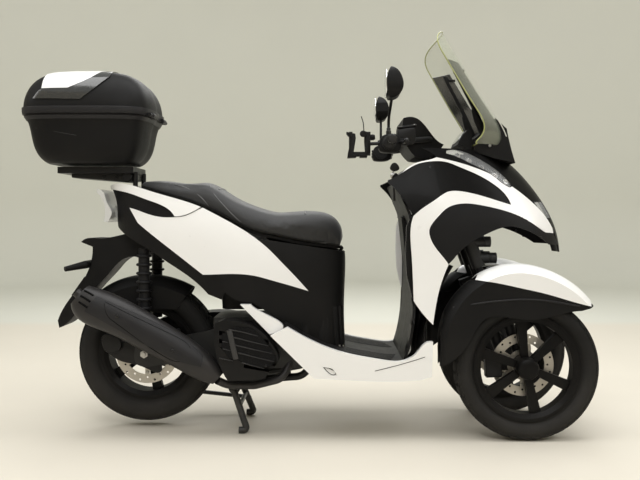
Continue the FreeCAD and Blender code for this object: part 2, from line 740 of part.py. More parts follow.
def mirror_outline(shares, unit):
    """Front view outline from (height, width) shares, the same on both sides, pushed along X."""
    right = [Vector(-CUT_REACH, -w * unit, z_at(z)) for z, w in shares]
    left = [Vector(p.x, -p.y, p.z) for p in right]
    wire = Part.Wire([curve(right), curve([right[-1], left[-1]]), curve(left[::-1]),
                      curve([left[0], right[0]])])
    return Part.Face(wire).extrude(Vector(2 * CUT_REACH, 0, 0))


def block(x0, x1, y0, y1, z0, z1):
    """Block between two corners."""
    return Part.makeBox(x1 - x0, y1 - y0, z1 - z0, Vector(x0, y0, z0))


def largest(shape):
    """Biggest solid of a boolean result."""
    return max(shape.Solids, key=lambda solid: solid.Volume)


def keep(shape):
    """Solids of a boolean result without loose faces."""
    solids = [solid for solid in shape.Solids]
    return solids[0] if len(solids) == 1 else Part.makeCompound(solids)


def rear_core(inset):
    """Rear body as one closed form, drawn in by an inset."""
    wires = []
    for level, front, tail, widths in REAR_LEVEL_SHARES:
        z = z_at(level)
        right = [(x_at(s), -(w * BODY_HALF_WIDTH - inset)) for s, w in zip(REAR_STATION_SHARES, widths)]
        left = [(x, -y) for x, y in reversed(right)]
        points = [(x_at(front) - inset, 0)] + right + [(x_at(tail) + inset, 0)] + left
        wires.append(closed_curve([Vector(x, y, z) for x, y in points]))
    return Part.makeLoft(wires, True, False)


def rear_skin(outer, inner):
    """Shell of the rear body between two insets."""
    return rear_core(outer).cut(rear_core(inner))


def front_core(inset):
    """Front body as one closed form, open behind when drawn in."""
    wires = []
    for level, tip, sides in FRONT_LEVEL_SHARES:
        z = z_at(level)
        rear = x_at(FRONT_REAR_SHARE) - (OVERRUN if inset else 0)
        right = [(x_at(s), -(w * COWL_HALF_WIDTH - inset)) for s, w in sides]
        right = [(rear, right[0][1])] + right
        points = right + [(x_at(tip) - inset, 0)] + [(x, -y) for x, y in reversed(right)]
        points = [Vector(x, y, z) for x, y in points]
        wires.append(Part.Wire([curve(points), curve([points[-1], points[0]])]))
    return Part.makeLoft(wires, True, False)


def front_skin(outer, inner):
    """Shell of the front body between two insets."""
    return front_core(outer).cut(front_core(inner))


def front_panels():
    """Cowl, infill, arch panels, slit lamps and nose, all on one skin."""
    skin = front_skin(0, PANEL_WALL)
    wide = COWL_HALF_WIDTH + OVERRUN
    infill = wide_prism(COWL_INFILL_SHARES, wide)
    lamp = wide_prism(SLIT_LAMP_SHARES, wide)
    nose = mirror_outline(NOSE_FRONT_SHARES, COWL_HALF_WIDTH)
    cowl = skin.common(wide_prism(FRONT_COWL_SHARES, wide)).cut(nose).cut(infill)
    arch = skin.common(wide_prism(ARCH_PANEL_SHARES, wide)).cut(nose)
    lens = wide_prism(HEADLAMP_SHARES, HEADLAMP_OUTER_Y).cut(wide_prism(HEADLAMP_SHARES, HEADLAMP_INNER_Y))
    chin = skin.common(nose).common(wide_prism(NOSE_CHIN_SHARES, wide)).cut(lamp)
    inner = front_skin(PANEL_STEP, PANEL_STEP + PANEL_WALL)
    return {
        "front_cowl": cowl,
        "cowl_infill": inner.common(infill).cut(cowl).cut(nose),
        "arch_panels": arch,
        "nose_cover": chin.cut(lens),
        "front_lamps": Part.makeCompound([skin.common(lamp), chin.common(lens)]),
    }


def leg_shield():
    """Inner shield behind the cowl, with the glove box bulge."""
    depth = Vector(-2 * PANEL_WALL, 0, 0)
    sheet = strip_prism(LEG_SHIELD_SHARES, depth, COWL_HALF_WIDTH)
    shield = sheet.common(mirror_outline(LEG_SHIELD_FRONT_SHARES, COWL_HALF_WIDTH))
    low, high, wide = GLOVE_BOX_SHARES
    x = x_at(LEG_SHIELD_SHARES[4][0])
    half = wide * COWL_HALF_WIDTH / 2
    box = block(x - GLOVE_BOX_DEPTH, x, -half, half, z_at(low), z_at(high))
    box = box.makeFillet(GLOVE_BOX_FILLET, box.Edges)
    return fuse(shield, box)


def arch_liner(cowl, tubes):
    """Splash panel between the front wheels and the leg shield."""
    sheet = strip_prism(LINER_SHARES, Vector(-PANEL_WALL, 0, 0), COWL_HALF_WIDTH)
    sheet = sheet.common(mirror_outline(LINER_FRONT_SHARES, COWL_HALF_WIDTH))
    return sheet.cut(cowl).cut(tubes)


def screen_base(screen):
    """Cover under the windscreen, in front of the instruments."""
    half = SCREEN_FRONT_SHARES[1][1] * COWL_HALF_WIDTH
    base = wide_prism(SCREEN_BASE_SHARES, half)
    return base.cut(front_core(0)).cut(screen)


def windscreen():
    """Clear raked sheet, curved back at its sides."""
    wires = []
    for x, z in SCREEN_CENTRE_SHARES:
        points = []
        for share in SCREEN_SWEEP_SHARES:
            points.append(Vector(x_at(x) - SCREEN_SWEEP * share * share, share * COWL_HALF_WIDTH, z_at(z)))
        wires.append(Part.Wire([curve(points)]))
    sheet = Part.makeLoft(wires, False, False)
    solid = sheet.Faces[0].extrude(Vector(-SCREEN_THICKNESS, 0, 0))
    right = [Vector(-CUT_REACH, -w * COWL_HALF_WIDTH, z_at(z)) for z, w in SCREEN_FRONT_SHARES]
    top = Vector(-CUT_REACH, 0, z_at(SCREEN_CENTRE_SHARES[0][1]))
    left = [Vector(p.x, -p.y, p.z) for p in right]
    rim = curve(right[:-1] + [right[-1], top, left[-1]] + left[-2::-1])
    wire = Part.Wire([rim, curve([left[0], right[0]])])
    return solid.common(Part.Face(wire).extrude(Vector(2 * CUT_REACH, 0, 0)))


def screen_stays(screen, base):
    """Arms from the screen base up to studs on the back of the windscreen."""
    points = side_line(STAY_SHARES, -STAY_Y)
    studs = [cylinder(spot, spot + Vector(2 * SCREEN_SWEEP, 0, 0), STAY_R) for spot in points[1:]]
    stay = fuse(pipe(points, STAY_R), *studs).cut(base)
    return both(largest(stay.cut(screen)))


def floorboard(shield):
    """Foot floor between the skirts, rising to the front and the rear."""
    sheet = strip_prism(FLOOR_SHARES, Vector(0, 0, -2 * PANEL_WALL), FLOOR_HALF_WIDTH)
    return sheet.cut(rear_core(0)).cut(shield)


def side_skirts():
    """White sills beside the floor and the small trims behind them."""
    skirt = side_prism(SKIRT_SHARES, -SKIRT_OUTER_Y, -FLOOR_HALF_WIDTH)
    vent = side_prism(SKIRT_VENT_SHARES, -SKIRT_OUTER_Y - OVERRUN, -SKIRT_OUTER_Y + PANEL_WALL)
    skirt = skirt.cut(vent)
    trim = side_prism(SKIRT_TRIM_SHARES, -TRIM_OUTER_Y, -TRIM_OUTER_Y + SKIRT_OUTER_Y - FLOOR_HALF_WIDTH)
    return Part.makeCompound([skirt, mirrored(skirt), trim, mirrored(trim)])


def rear_panels():
    """Side covers, tunnel cover, tail cover and grab rail on one skin."""
    skin = rear_skin(0, PANEL_WALL)
    wide = BODY_HALF_WIDTH + OVERRUN
    side_zone = wide_prism(SIDE_COVER_SHARES, wide)
    lower_zone = wide_prism(LOWER_COVER_SHARES, wide).cut(side_zone)
    rail_zone = wide_prism(GRAB_RAIL_SHARES, wide).cut(side_zone)
    side = skin.common(side_zone)
    x, z = SEAT_HINGE_SHARES
    tunnel = skin.common(lower_zone).cut(across(x, z, SEAT_HINGE_EAR_Y + GAP, SEAT_HINGE_R + GAP))
    rail = rear_skin(-PANEL_STEP, RAIL_DEPTH).common(rail_zone)
    inner = rear_skin(PANEL_WALL, 2 * PANEL_WALL)
    tail = inner.common(wide_prism(TAIL_COVER_SHARES, wide).cut(rail_zone))
    return {
        "side_covers": side,
        "tunnel_cover": tunnel,
        "grab_rail": rail,
        "tail_cover": tail,
    }


def seat_wire(station, inset=0.0):
    """Crowned cross-section of the seat."""
    x, low, high, width = station
    half = width * BODY_HALF_WIDTH - inset
    bottom = z_at(low)
    height = z_at(high) - bottom - inset
    right = [Vector(x_at(x), -half * w, bottom + height * h) for w, h in SEAT_SHOULDER_SHARES]
    left = [Vector(p.x, -p.y, p.z) for p in right[-2::-1]]
    return Part.Wire([curve(right + left), curve([left[-1], right[0]])])


def seat():
    """Padded two-step seat."""
    return Part.makeLoft([seat_wire(station) for station in SEAT_STATION_SHARES], True, False)


def seat_base(pad):
    """Moulded pan under the pad, with two ears for the front hinge."""
    wires = []
    for x, low, high, width in SEAT_STATION_SHARES:
        half = width * BODY_HALF_WIDTH - SEAT_BASE_INSET
        top = z_at(low)
        corners = [Vector(x_at(x), y, z) for y, z in (
            (-half, top), (-half, top - SEAT_BASE_THICKNESS),
            (half, top - SEAT_BASE_THICKNESS), (half, top))]
        wires.append(Part.makePolygon(corners + corners[:1]))
    pan = Part.makeLoft(wires, True, False).cut(pad)
    x, z = SEAT_HINGE_SHARES
    notch = across(x, z, SEAT_HINGE_STRAP_Y + PIN_FIT, SEAT_HINGE_R + PIN_FIT)
    ears = across(x, z, SEAT_HINGE_EAR_Y, SEAT_HINGE_R)
    bore = across(x, z, SEAT_HINGE_EAR_Y + OVERRUN, SEAT_HINGE_PIN_R + PIN_FIT)
    return fuse(pan, ears).cut(notch).cut(bore)


def storage_bin():
    """Open tub under the seat."""
    x0, x1, low, high = (x_at(BIN_SHARES[0]), x_at(BIN_SHARES[1]), z_at(BIN_SHARES[2]), z_at(BIN_SHARES[3]))
    outer = tub_form(x0, x1, low, high, BIN_HALF_WIDTH, BIN_CORNER, 0)
    inner = tub_form(x0, x1, low + WALL, high + OVERRUN, BIN_HALF_WIDTH, BIN_CORNER, WALL)
    return outer.cut(inner)


def tub_form(x0, x1, low, high, half, corner, inset):
    """Rounded tub that widens upward by its draft."""
    wires = []
    for z, draft in ((low, BIN_DRAFT), (high, 0)):
        wires.append(round_rect(x0 + inset + draft, x1 - inset - draft, half - inset - draft,
                                corner - inset, z))
    return Part.makeLoft(wires, True, True)


def round_rect(x0, x1, half, corner, z):
    """Rectangle with round corners in a level plane."""
    box = Part.makePlane(x1 - x0, 2 * half, Vector(x0, -half, z))
    wire = box.OuterWire
    solid = box.extrude(Vector(0, 0, corner))
    uprights = [edge for edge in solid.Edges if abs(edge.tangentAt(edge.FirstParameter).z) > 0.5]
    rounded = solid.makeFillet(corner, uprights)
    low_face = min(rounded.Faces, key=lambda face: face.CenterOfMass.z)
    return low_face.OuterWire


def tail_lamp():
    """Clear lamp across the tail."""
    lamp = wide_prism(TAIL_LAMP_SHARES, TAIL_LAMP_HALF_WIDTH)
    return lamp.cut(rear_core(0))


def rear_fender():
    """Mudguard with the plate holder and two indicator arms."""
    body = wide_prism(REAR_FENDER_SHARES, REAR_FENDER_HALF_WIDTH)
    (x0, z0), (x1, z1) = INDICATOR_SHARES
    bars = []
    for y in (-INDICATOR_SPREAD, INDICATOR_SPREAD):
        root = Vector(x_at(x0), 0, z_at(z0))
        knee = Vector(x_at(x0), y * INDICATOR_KNEE_SHARE, z_at(z0))
        tip = Vector(x_at(x1), y, z_at(z1))
        bars.append(cylinder(root, knee, INDICATOR_R))
        bars.append(Part.makeCone(INDICATOR_R, INDICATOR_TIP_R, (tip - knee).Length, knee, tip - knee))
        bars.append(Part.makeSphere(INDICATOR_R, knee))
    top, low = side_line(PLATE_LINE_SHARES, 0)
    out = plate_direction()
    corners = [top + out * PLATE_LIFT, low + out * PLATE_LIFT, low - out * PLATE_BACK,
               top - out * PLATE_BACK]
    corners = [spot - Y_AXIS * PLATE_HALF_WIDTH for spot in corners]
    carrier = Part.Face(Part.makePolygon(corners + corners[:1])).extrude(Y_AXIS * (2 * PLATE_HALF_WIDTH))
    middle = (top + low) / 2 - out * PLATE_BACK
    holes = []
    for y in (-PLATE_HOLE_SPACING / 2, PLATE_HOLE_SPACING / 2):
        start = middle + Y_AXIS * y
        holes.append(cylinder(start, start + out * (PLATE_BACK + PLATE_LIFT + OVERRUN), PLATE_HOLE_R))
    return fuse(body, *bars, carrier).cut(Part.makeCompound(holes))


def plate_direction():
    """Outward direction of the plate holder's face."""
    top, low = side_line(PLATE_LINE_SHARES, 0)
    along = (low - top).normalize()
    return Vector(along.z, 0, -along.x)


def wheel_core(stations, wheel_r, half_width, axle_x, axle_z, inset):
    """Closed form over a wheel, from sections set round its axle."""
    wires = []
    for turn, radius, width in stations:
        angle = math.radians(turn)
        out = Vector(math.cos(angle), 0, math.sin(angle))
        axle = Vector(axle_x, 0, axle_z)
        reach = radius * wheel_r - inset
        half = width * half_width - inset
        low = FENDER_INNER_R_SHARE * wheel_r - inset
        edge = reach - half * FENDER_SHOULDER_SHARE
        profile = ((low, -half), (edge, -half), (reach, 0), (edge, half), (low, half))
        points = [axle + out * r + Vector(0, y, 0) for r, y in profile]
        crown = curve(points[1:4])
        wires.append(Part.Wire([curve(points[0:2]), crown, curve(points[3:5]),
                                curve([points[4], points[0]])]))
    return Part.makeLoft(wires, True, False)


def front_fender(side):
    """Black skirt and white cap over a front wheel."""
    def core(inset):
        form = wheel_core(FENDER_STATION_SHARES, FRONT_TYRE_R, FENDER_HALF_WIDTH, FRONT_AXLE_X,
                          FRONT_AXLE_Z, inset)
        form.translate(Vector(0, side * WHEEL_Y, 0))
        return form
    y0 = side * WHEEL_Y - 2 * FENDER_HALF_WIDTH
    y1 = side * WHEEL_Y + 2 * FENDER_HALF_WIDTH
    base = core(0)
    skirt = base.cut(core(FENDER_WALL)).common(side_prism(FENDER_SHARES, y0, y1))
    cap = core(-FENDER_WALL).cut(base).common(side_prism(FENDER_CAP_SHARES, y0, y1))
    leg_y = KINGPIN_Y + FORK_SLIDER_R
    low_y, high_y = (0, leg_y) if side > 0 else (-leg_y, 0)
    inside = block(0, CUT_REACH, low_y, high_y, 0, CUT_REACH)
    return skirt.cut(inside), cap.cut(inside)


def tyre(radius, width, rim_r, x, y, z):
    """Round-shouldered tyre with its bore on the rim."""
    half = width / 2
    bead = half * RIM_WIDTH_SHARE - RIM_WALL - RIM_SEAT_FIT
    foot = (rim_r + RIM_SEAT_FIT, bead)
    right = [
        (rim_r + 2 * RIM_FLANGE, bead),
        (rim_r + (radius - rim_r) * (1 - TYRE_BULGE_SHARE), half),
        (rim_r + (radius - rim_r) * TYRE_SHOULDER_SHARE, half * TYRE_SHOULDER_SHARE),
    ]
    def at(r, off):
        return Vector(x, y + off, z + r)
    outer = curve([at(*right[0]), at(*right[1]), at(*right[2]), at(radius, 0),
                   at(right[2][0], -right[2][1]), at(right[1][0], -right[1][1]),
                   at(right[0][0], -right[0][1])])
    corners = [at(right[0][0], -right[0][1]), at(foot[0], -foot[1]), at(*foot), at(*right[0])]
    bead_edges = [curve(corners[index:index + 2]) for index in range(3)]
    return Part.Face(Part.Wire([outer] + bead_edges)).revolve(Vector(x, 0, z), Y_AXIS, 360)


def rim(rim_r, width, x, y, z):
    """Cast rim: well, hub and three pairs of spokes."""
    half = width * RIM_WIDTH_SHARE / 2
    profile = [
        (rim_r + RIM_FLANGE, half), (rim_r + RIM_FLANGE, half - RIM_WALL), (rim_r, half - RIM_WALL),
        (rim_r, -half + RIM_WALL), (rim_r + RIM_FLANGE, -half + RIM_WALL), (rim_r + RIM_FLANGE, -half),
        (rim_r - RIM_WALL, -half), (rim_r - RIM_DEPTH, -half + RIM_DEPTH / 2),
        (rim_r - RIM_DEPTH, half - RIM_DEPTH / 2), (rim_r - RIM_WALL, half),
    ]
    ring = revolve_y([(r, y + off) for r, off in profile], x, z)
    hub = cylinder(Vector(x, y - HUB_WIDTH / 2, z), Vector(x, y + HUB_WIDTH / 2, z), HUB_R)
    parts = [hub]
    for pair in range(SPOKES // 2):
        for lean in (-1, 1):
            turn = FIRST_PAIR_TURN + pair * 720.0 / SPOKES + lean * SPOKE_PAIR_TURN
            parts.append(spoke(rim_r, x, y, z, turn))
    wheel = fuse(ring, *parts)
    bore = cylinder(Vector(x, y - HUB_WIDTH, z), Vector(x, y + HUB_WIDTH, z), AXLE_R + AXLE_FIT)
    return wheel.cut(bore)


def spoke(rim_r, x, y, z, turn):
    """One spoke, narrow at the hub and wide at the rim."""
    half = SPOKE_THICKNESS / 2
    inner = HUB_R * SPOKE_ROOT_SHARE
    outer = rim_r - RIM_DEPTH + RIM_WALL
    flat = [
        Vector(x - SPOKE_HUB_WIDTH / 2, y - half, z + inner),
        Vector(x - SPOKE_RIM_WIDTH / 2, y - half, z + outer),
        Vector(x + SPOKE_RIM_WIDTH / 2, y - half, z + outer),
        Vector(x + SPOKE_HUB_WIDTH / 2, y - half, z + inner),
    ]
    blade = Part.Face(Part.makePolygon(flat + flat[:1])).extrude(Vector(0, SPOKE_THICKNESS, 0))
    blade.rotate(Vector(x, y, z), Y_AXIS, 90 - turn)
    return blade


def brake_disc(radius, x, y, z):
    """Drilled disc on a six-armed carrier."""
    half = DISC_THICKNESS / 2
    ring = revolve_y([(radius, y - half), (radius, y + half), (radius - DISC_BAND, y + half),
                      (radius - DISC_BAND, y - half)], x, z)
    inner = revolve_y([(HUB_R + PIN_FIT, y - half), (HUB_R + PIN_FIT, y + half),
                       (HUB_R + PIN_FIT + DISC_ARM_WIDTH, y + half),
                       (HUB_R + PIN_FIT + DISC_ARM_WIDTH, y - half)], x, z)
    arms = []
    for index in range(DISC_ARMS):
        arm = block(x - DISC_ARM_WIDTH / 2, x + DISC_ARM_WIDTH / 2, y - half, y + half,
                    z + HUB_R + DISC_ARM_WIDTH / 2, z + radius - DISC_BAND / 2)
        arm.rotate(Vector(x, y, z), Y_AXIS, index * 360.0 / DISC_ARMS)
        arms.append(arm)
    disc = fuse(ring, inner, *arms)
    holes = []
    for index in range(DISC_HOLES):
        angle = 2 * math.pi * index / DISC_HOLES
        reach = radius - DISC_BAND * DISC_HOLE_ROW_SHARES[index % 2]
        spot = Vector(x + reach * math.sin(angle), y, z + reach * math.cos(angle))
        holes.append(cylinder(spot - Y_AXIS * DISC_BAND, spot + Y_AXIS * DISC_BAND, DISC_HOLE_R))
    return disc.cut(Part.makeCompound(holes))


def caliper(x, z, disc_r, disc_y, root_y, turn):
    """Brake body across a disc's rim, with the bracket to what carries it."""
    side = math.copysign(1, root_y - disc_y)
    slot = DISC_THICKNESS / 2 + GAP
    far, near = disc_y - side * (slot + CALIPER_ARM), disc_y + side * (slot + CALIPER_ARM)
    half = CALIPER_LENGTH / 2
    body = block(x + disc_r - CALIPER_BITE, x + disc_r + CALIPER_RISE, min(far, near), max(far, near),
                 z - half, z + half)
    body = body.makeFillet(CALIPER_FILLET, body.Edges)
    face = disc_y + side * slot
    bracket = block(x + disc_r - 2 * CALIPER_BITE, x + disc_r, min(face, root_y), max(face, root_y),
                    z - half / 2, z + half / 2)
    cut = cylinder(Vector(x, disc_y - slot, z), Vector(x, disc_y + slot, z), disc_r + GAP)
    whole = body.fuse(bracket).cut(cut)
    whole.rotate(Vector(x, disc_y, z), Y_AXIS, -turn)
    return whole


def fork(side):
    """Twin-tube leg inside a wheel, its stem, steering arm, axle and caliper."""
    y = side * KINGPIN_Y
    crown_top = turn_axis(z_at(FORK_CROWN_Z_SHARE), y)
    crown_low = crown_top + TURN_DOWN * FORK_CROWN_HEIGHT
    stem_top = turn_axis(z_at(KNUCKLE_Z_SHARE), y) - TURN_DOWN * (KNUCKLE_HEIGHT / 2 + GAP)
    slider_top_axis = turn_axis(z_at(FORK_SLIDER_TOP_Z_SHARE), y)
    axle_mid = turn_axis(FRONT_AXLE_Z, y)
    parts = []
    for place in (-1, 1):
        off = TURN_FORE * (place * FORK_SPREAD)
        parts.append(cylinder(crown_low + off - TURN_DOWN * FORK_CROWN_HEIGHT, slider_top_axis + off,
                              FORK_TUBE_R))
        parts.append(cylinder(slider_top_axis + off, axle_mid + off, FORK_SLIDER_R))
    crown = cylinder(crown_top, crown_low, FORK_SPREAD + FORK_TUBE_R + RIM_FLANGE)
    trim = block(0, CUT_REACH, y - FORK_SLIDER_R, y + FORK_SLIDER_R, 0, CUT_REACH)
    parts.append(crown.common(trim))
    parts.append(cylinder(crown_top, stem_top, STEM_R))
    wheel_y = side * WHEEL_Y
    axle_start = Vector(FRONT_AXLE_X, y - side * FORK_SLIDER_R, FRONT_AXLE_Z)
    boss_end = Vector(FRONT_AXLE_X, y + side * FORK_SLIDER_R, FRONT_AXLE_Z)
    axle_end = Vector(FRONT_AXLE_X, wheel_y + side * (HUB_WIDTH / 2 + AXLE_R), FRONT_AXLE_Z)
    parts.append(cylinder(axle_start, boss_end, AXLE_BOSS_R))
    parts.append(cylinder(boss_end, axle_end, AXLE_R))
    arm_root = crown_top + TURN_DOWN * (FORK_CROWN_HEIGHT / 2)
    arm_end = arm_root + TURN_FORE * STEER_ARM_LENGTH
    parts.append(steer_arm(arm_root, arm_end))
    root_y = y + side * (FORK_SLIDER_R - CALIPER_ARM)
    disc_y = wheel_y - side * DISC_INSET
    parts.append(caliper(FRONT_AXLE_X, FRONT_AXLE_Z, FRONT_DISC_R, disc_y, root_y, FRONT_CALIPER_TURN))
    return fuse(*parts)


def steer_arm(root, end):
    """Flat arm with an eye, square to the steering line."""
    up = TURN_DOWN * (-STEER_ARM_THICKNESS / 2)
    bar_side = Y_AXIS * (STEER_ARM_WIDTH / 2)
    corners = [root - bar_side + up, end - bar_side + up, end + bar_side + up, root + bar_side + up]
    bar = Part.Face(Part.makePolygon(corners + corners[:1])).extrude(TURN_DOWN * STEER_ARM_THICKNESS)
    eye = cylinder(end + up, end - up, STEER_ARM_WIDTH / 2)
    return fuse(bar, eye)


def tie_rod():
    """Cross rod above the steering arms, with three pins down into them."""
    arm_root = turn_axis(z_at(FORK_CROWN_Z_SHARE), 0) + TURN_DOWN * (FORK_CROWN_HEIGHT / 2)
    pin = arm_root + TURN_FORE * STEER_ARM_LENGTH
    lift = TURN_DOWN * -(STEER_ARM_THICKNESS / 2 + PIN_FIT + TIE_ROD_EYE_HEIGHT / 2)
    centre = pin + lift
    rod = cylinder(centre - Y_AXIS * KINGPIN_Y, centre + Y_AXIS * KINGPIN_Y, TIE_ROD_R)
    eyes = []
    for y in (-KINGPIN_Y, 0, KINGPIN_Y):
        spot = centre + Y_AXIS * y
        half = TURN_DOWN * (TIE_ROD_EYE_HEIGHT / 2)
        eyes.append(cylinder(spot - half, spot + half, TIE_ROD_EYE_R))
    return fuse(rod, *eyes)


def steering_knuckles():
    """Tilting uprights that hold the fork stems."""
    middle = turn_axis(z_at(KNUCKLE_Z_SHARE), -KINGPIN_Y)
    half = TURN_DOWN * (KNUCKLE_HEIGHT / 2)
    tube = cylinder(middle - half, middle + half, KNUCKLE_R)
    bosses = []
    for z_share in (ARM_UPPER_Z_SHARE, ARM_LOWER_Z_SHARE):
        start = turn_axis(z_at(z_share), -KINGPIN_Y)
        end = start + Vector(ARM_X_OFFSET - ARM_DEPTH / 2 - SEAM, 0, 0)
        bosses.append(cylinder(start, end, ARM_BOSS_R))
        bosses.append(cylinder(end, end + Vector(ARM_DEPTH + 2 * SEAM, 0, 0), ARM_PIN_R))
    upright = fuse(tube, *bosses)
    bore = cylinder(middle - half * 2, middle + half * 2, STEM_R + PIN_FIT)
    return both(upright.cut(bore))


def tilt_arms():
    """Upper and lower cross arms of the leaning linkage."""
    arms = []
    for z_share in (ARM_UPPER_Z_SHARE, ARM_LOWER_Z_SHARE):
        x = turn_axis(z_at(z_share)).x + ARM_X_OFFSET
        z = z_at(z_share)
        bar = block(x - ARM_DEPTH / 2, x + ARM_DEPTH / 2, -KINGPIN_Y, KINGPIN_Y, z - ARM_HEIGHT / 2,
                    z + ARM_HEIGHT / 2)
        bosses = []
        bores = []
        for y in (-KINGPIN_Y, 0, KINGPIN_Y):
            start = Vector(x - ARM_DEPTH / 2, y, z)
            end = Vector(x + ARM_DEPTH / 2, y, z)
            bosses.append(cylinder(start, end, ARM_BOSS_R))
            bores.append(cylinder(start - Vector(OVERRUN, 0, 0), end + Vector(OVERRUN, 0, 0),
                                  ARM_PIN_R + PIN_FIT))
        arms.append(fuse(bar, *bosses).cut(Part.makeCompound(bores)))
    return Part.makeCompound(arms)


def stand_lugs():
    """Two eyes under the frame for the centre stand's cross tube."""
    x, z = STAND_PIVOT_SHARES
    half = LUG_WIDTH / 2
    lugs = []
    for y in (-FRAME_LOWER_Y, FRAME_LOWER_Y):
        start = Vector(x_at(x), y - half, z_at(z))
        eye = cylinder(start, start + Y_AXIS * LUG_WIDTH, STAND_TUBE_R + LUG_WALL)
        post = block(x_at(x) - STAND_TUBE_R, x_at(x) + STAND_TUBE_R, y - half, y + half,
                     z_at(z), z_at(FRAME_STAND_SHARES[-1][1]))
        lugs.extend((eye, post))
    return lugs


def side_stand_lug():
    """Plate and pin for the side stand."""
    x, z = SIDE_PIVOT_SHARES
    half = LUG_WIDTH / 2
    pin_start = Vector(x_at(x), SIDE_LUG_Y - half, z_at(z))
    pin_end = Vector(x_at(x), SIDE_STAND_Y + SIDE_STAND_R + GAP, z_at(z))
    plate = block(x_at(x) - 2 * SIDE_PIN_R, x_at(x) + 2 * SIDE_PIN_R, SIDE_LUG_Y - half, SIDE_LUG_Y + half,
                  z_at(z) - 2 * SIDE_PIN_R, z_at(FRAME_LOWER_SHARES[-1][1]) - SIDE_PIN_R)
    return [plate, cylinder(pin_start, pin_end, SIDE_PIN_R)]


def seat_strap():
    """Cross bar and strap up to the seat's front hinge, with its pin."""
    bar_x, bar_z = SEAT_BAR_SHARES
    x, z = SEAT_HINGE_SHARES
    low = Vector(x_at(bar_x), -SEAT_HINGE_STRAP_Y, z_at(bar_z))
    high = Vector(x_at(x), -SEAT_HINGE_STRAP_Y, z_at(z))
    along = (high - low).normalize()
    lift = Vector(-along.z, 0, along.x) * (SEAT_HINGE_STRAP / 2)
    corners = [low - lift, high - lift, high + lift, low + lift]
    strap = Part.Face(Part.makePolygon(corners + corners[:1])).extrude(Y_AXIS * (2 * SEAT_HINGE_STRAP_Y))
    barrel = across(x, z, SEAT_HINGE_STRAP_Y, SEAT_HINGE_R)
    pin = across(x, z, SEAT_HINGE_EAR_Y, SEAT_HINGE_PIN_R)
    return [across(bar_x, bar_z, FRAME_RAIL_Y, SEAT_BAR_R), strap, barrel, pin]


def frame():
    """Head tube, spine, floor loops and rear rails, with the tilt pins."""
    low = turn_axis(z_at(HEAD_LOW_Z_SHARE))
    high = turn_axis(z_at(HEAD_HIGH_Z_SHARE))
    spine = [turn_axis(z_at(FRAME_NECK_Z_SHARE))] + side_line(FRAME_SPINE_SHARES, 0)
    rail = side_line(FRAME_RAIL_SHARES, -FRAME_RAIL_Y) + side_line(FRAME_TAIL_SHARES, -FRAME_TAIL_Y)
    lower = side_line(FRAME_LOWER_SHARES, -FRAME_RAIL_Y) + side_line(FRAME_STAND_SHARES, -FRAME_LOWER_Y)
    cross_x, cross_z = FRAME_RAIL_SHARES[0]
    tail_x, tail_z = FRAME_TAIL_SHARES[0]
    parts = [pipe(spine, MAIN_TUBE_R), across(cross_x, cross_z, FRAME_RAIL_Y, RAIL_TUBE_R)]
    parts.append(across(tail_x, tail_z, FRAME_TAIL_Y, RAIL_TUBE_R))
    for shape in (pipe(rail, RAIL_TUBE_R), pipe(lower, RAIL_TUBE_R)):
        parts.extend((shape, mirrored(shape)))
    for y in (-FRAME_LOWER_Y, FRAME_LOWER_Y):
        start = Vector(x_at(cross_x), y, z_at(cross_z))
        end = Vector(x_at(CYLINDER_SHARES[1]), y, z_at(cross_z))
        parts.append(cylinder(start, end, RAIL_TUBE_R / 2))
    for z_share in (ARM_UPPER_Z_SHARE, ARM_LOWER_Z_SHARE):
        start = turn_axis(z_at(z_share))
        end = start + Vector(ARM_X_OFFSET - ARM_DEPTH / 2 - SEAM, 0, 0)
        parts.append(cylinder(start, end, ARM_BOSS_R))
        parts.append(cylinder(end, end + Vector(ARM_DEPTH + 2 * SEAM, 0, 0), ARM_PIN_R))
    parts.extend(stand_lugs() + side_stand_lug() + seat_strap())
    body = fuse(cylinder(low, high, HEAD_TUBE_R), *parts)
    bore = cylinder(low + TURN_DOWN * OVERRUN, high - TURN_DOWN * OVERRUN, COLUMN_R + GAP)
    x, z = STAND_PIVOT_SHARES
    return body.cut(bore).cut(across(x, z, STAND_HALF_WIDTH, STAND_TUBE_R + PIN_FIT))


def handlebar():
    """Column, bar, grips, switches, levers and the phone holder."""
    gx, gz = x_at(GRIP_SHARES[0]), z_at(GRIP_SHARES[1])
    arm_root = turn_axis(z_at(FORK_CROWN_Z_SHARE)) + TURN_DOWN * (FORK_CROWN_HEIGHT / 2)
    top = turn_axis(z_at(BAR_TOP_Z_SHARE))
    column = cylinder(arm_root - TURN_DOWN * (STEER_ARM_THICKNESS / 2), top, COLUMN_R)
    arm = steer_arm(arm_root, arm_root + TURN_FORE * STEER_ARM_LENGTH)
    half = TURN_DOWN * STEER_ARM_THICKNESS
    boss = cylinder(arm_root - half, arm_root + half, COLUMN_R + GAP / 2)
    right = [Vector(top.x, 0, top.z), Vector(top.x, -BAR_SHOULDER_Y, top.z),
             Vector(gx, -(GRIP_END_Y - GRIP_LENGTH), gz), Vector(gx, -GRIP_END_Y, gz)]
    bar = pipe(right, BAR_R, BAR_BEND_R)
    grip_start = Vector(gx, -(GRIP_END_Y - GRIP_LENGTH), gz)
    grip = cylinder(grip_start, Vector(gx, -GRIP_END_Y, gz), GRIP_R)
    switch = cylinder(grip_start, grip_start + Y_AXIS * SWITCH_LENGTH, SWITCH_R)
    parts = []
    for shape in (bar, grip, switch, lever()):
        parts.append(shape)
        parts.append(mirrored(shape))
    return fuse(column, arm, boss, *parts, phone_holder())


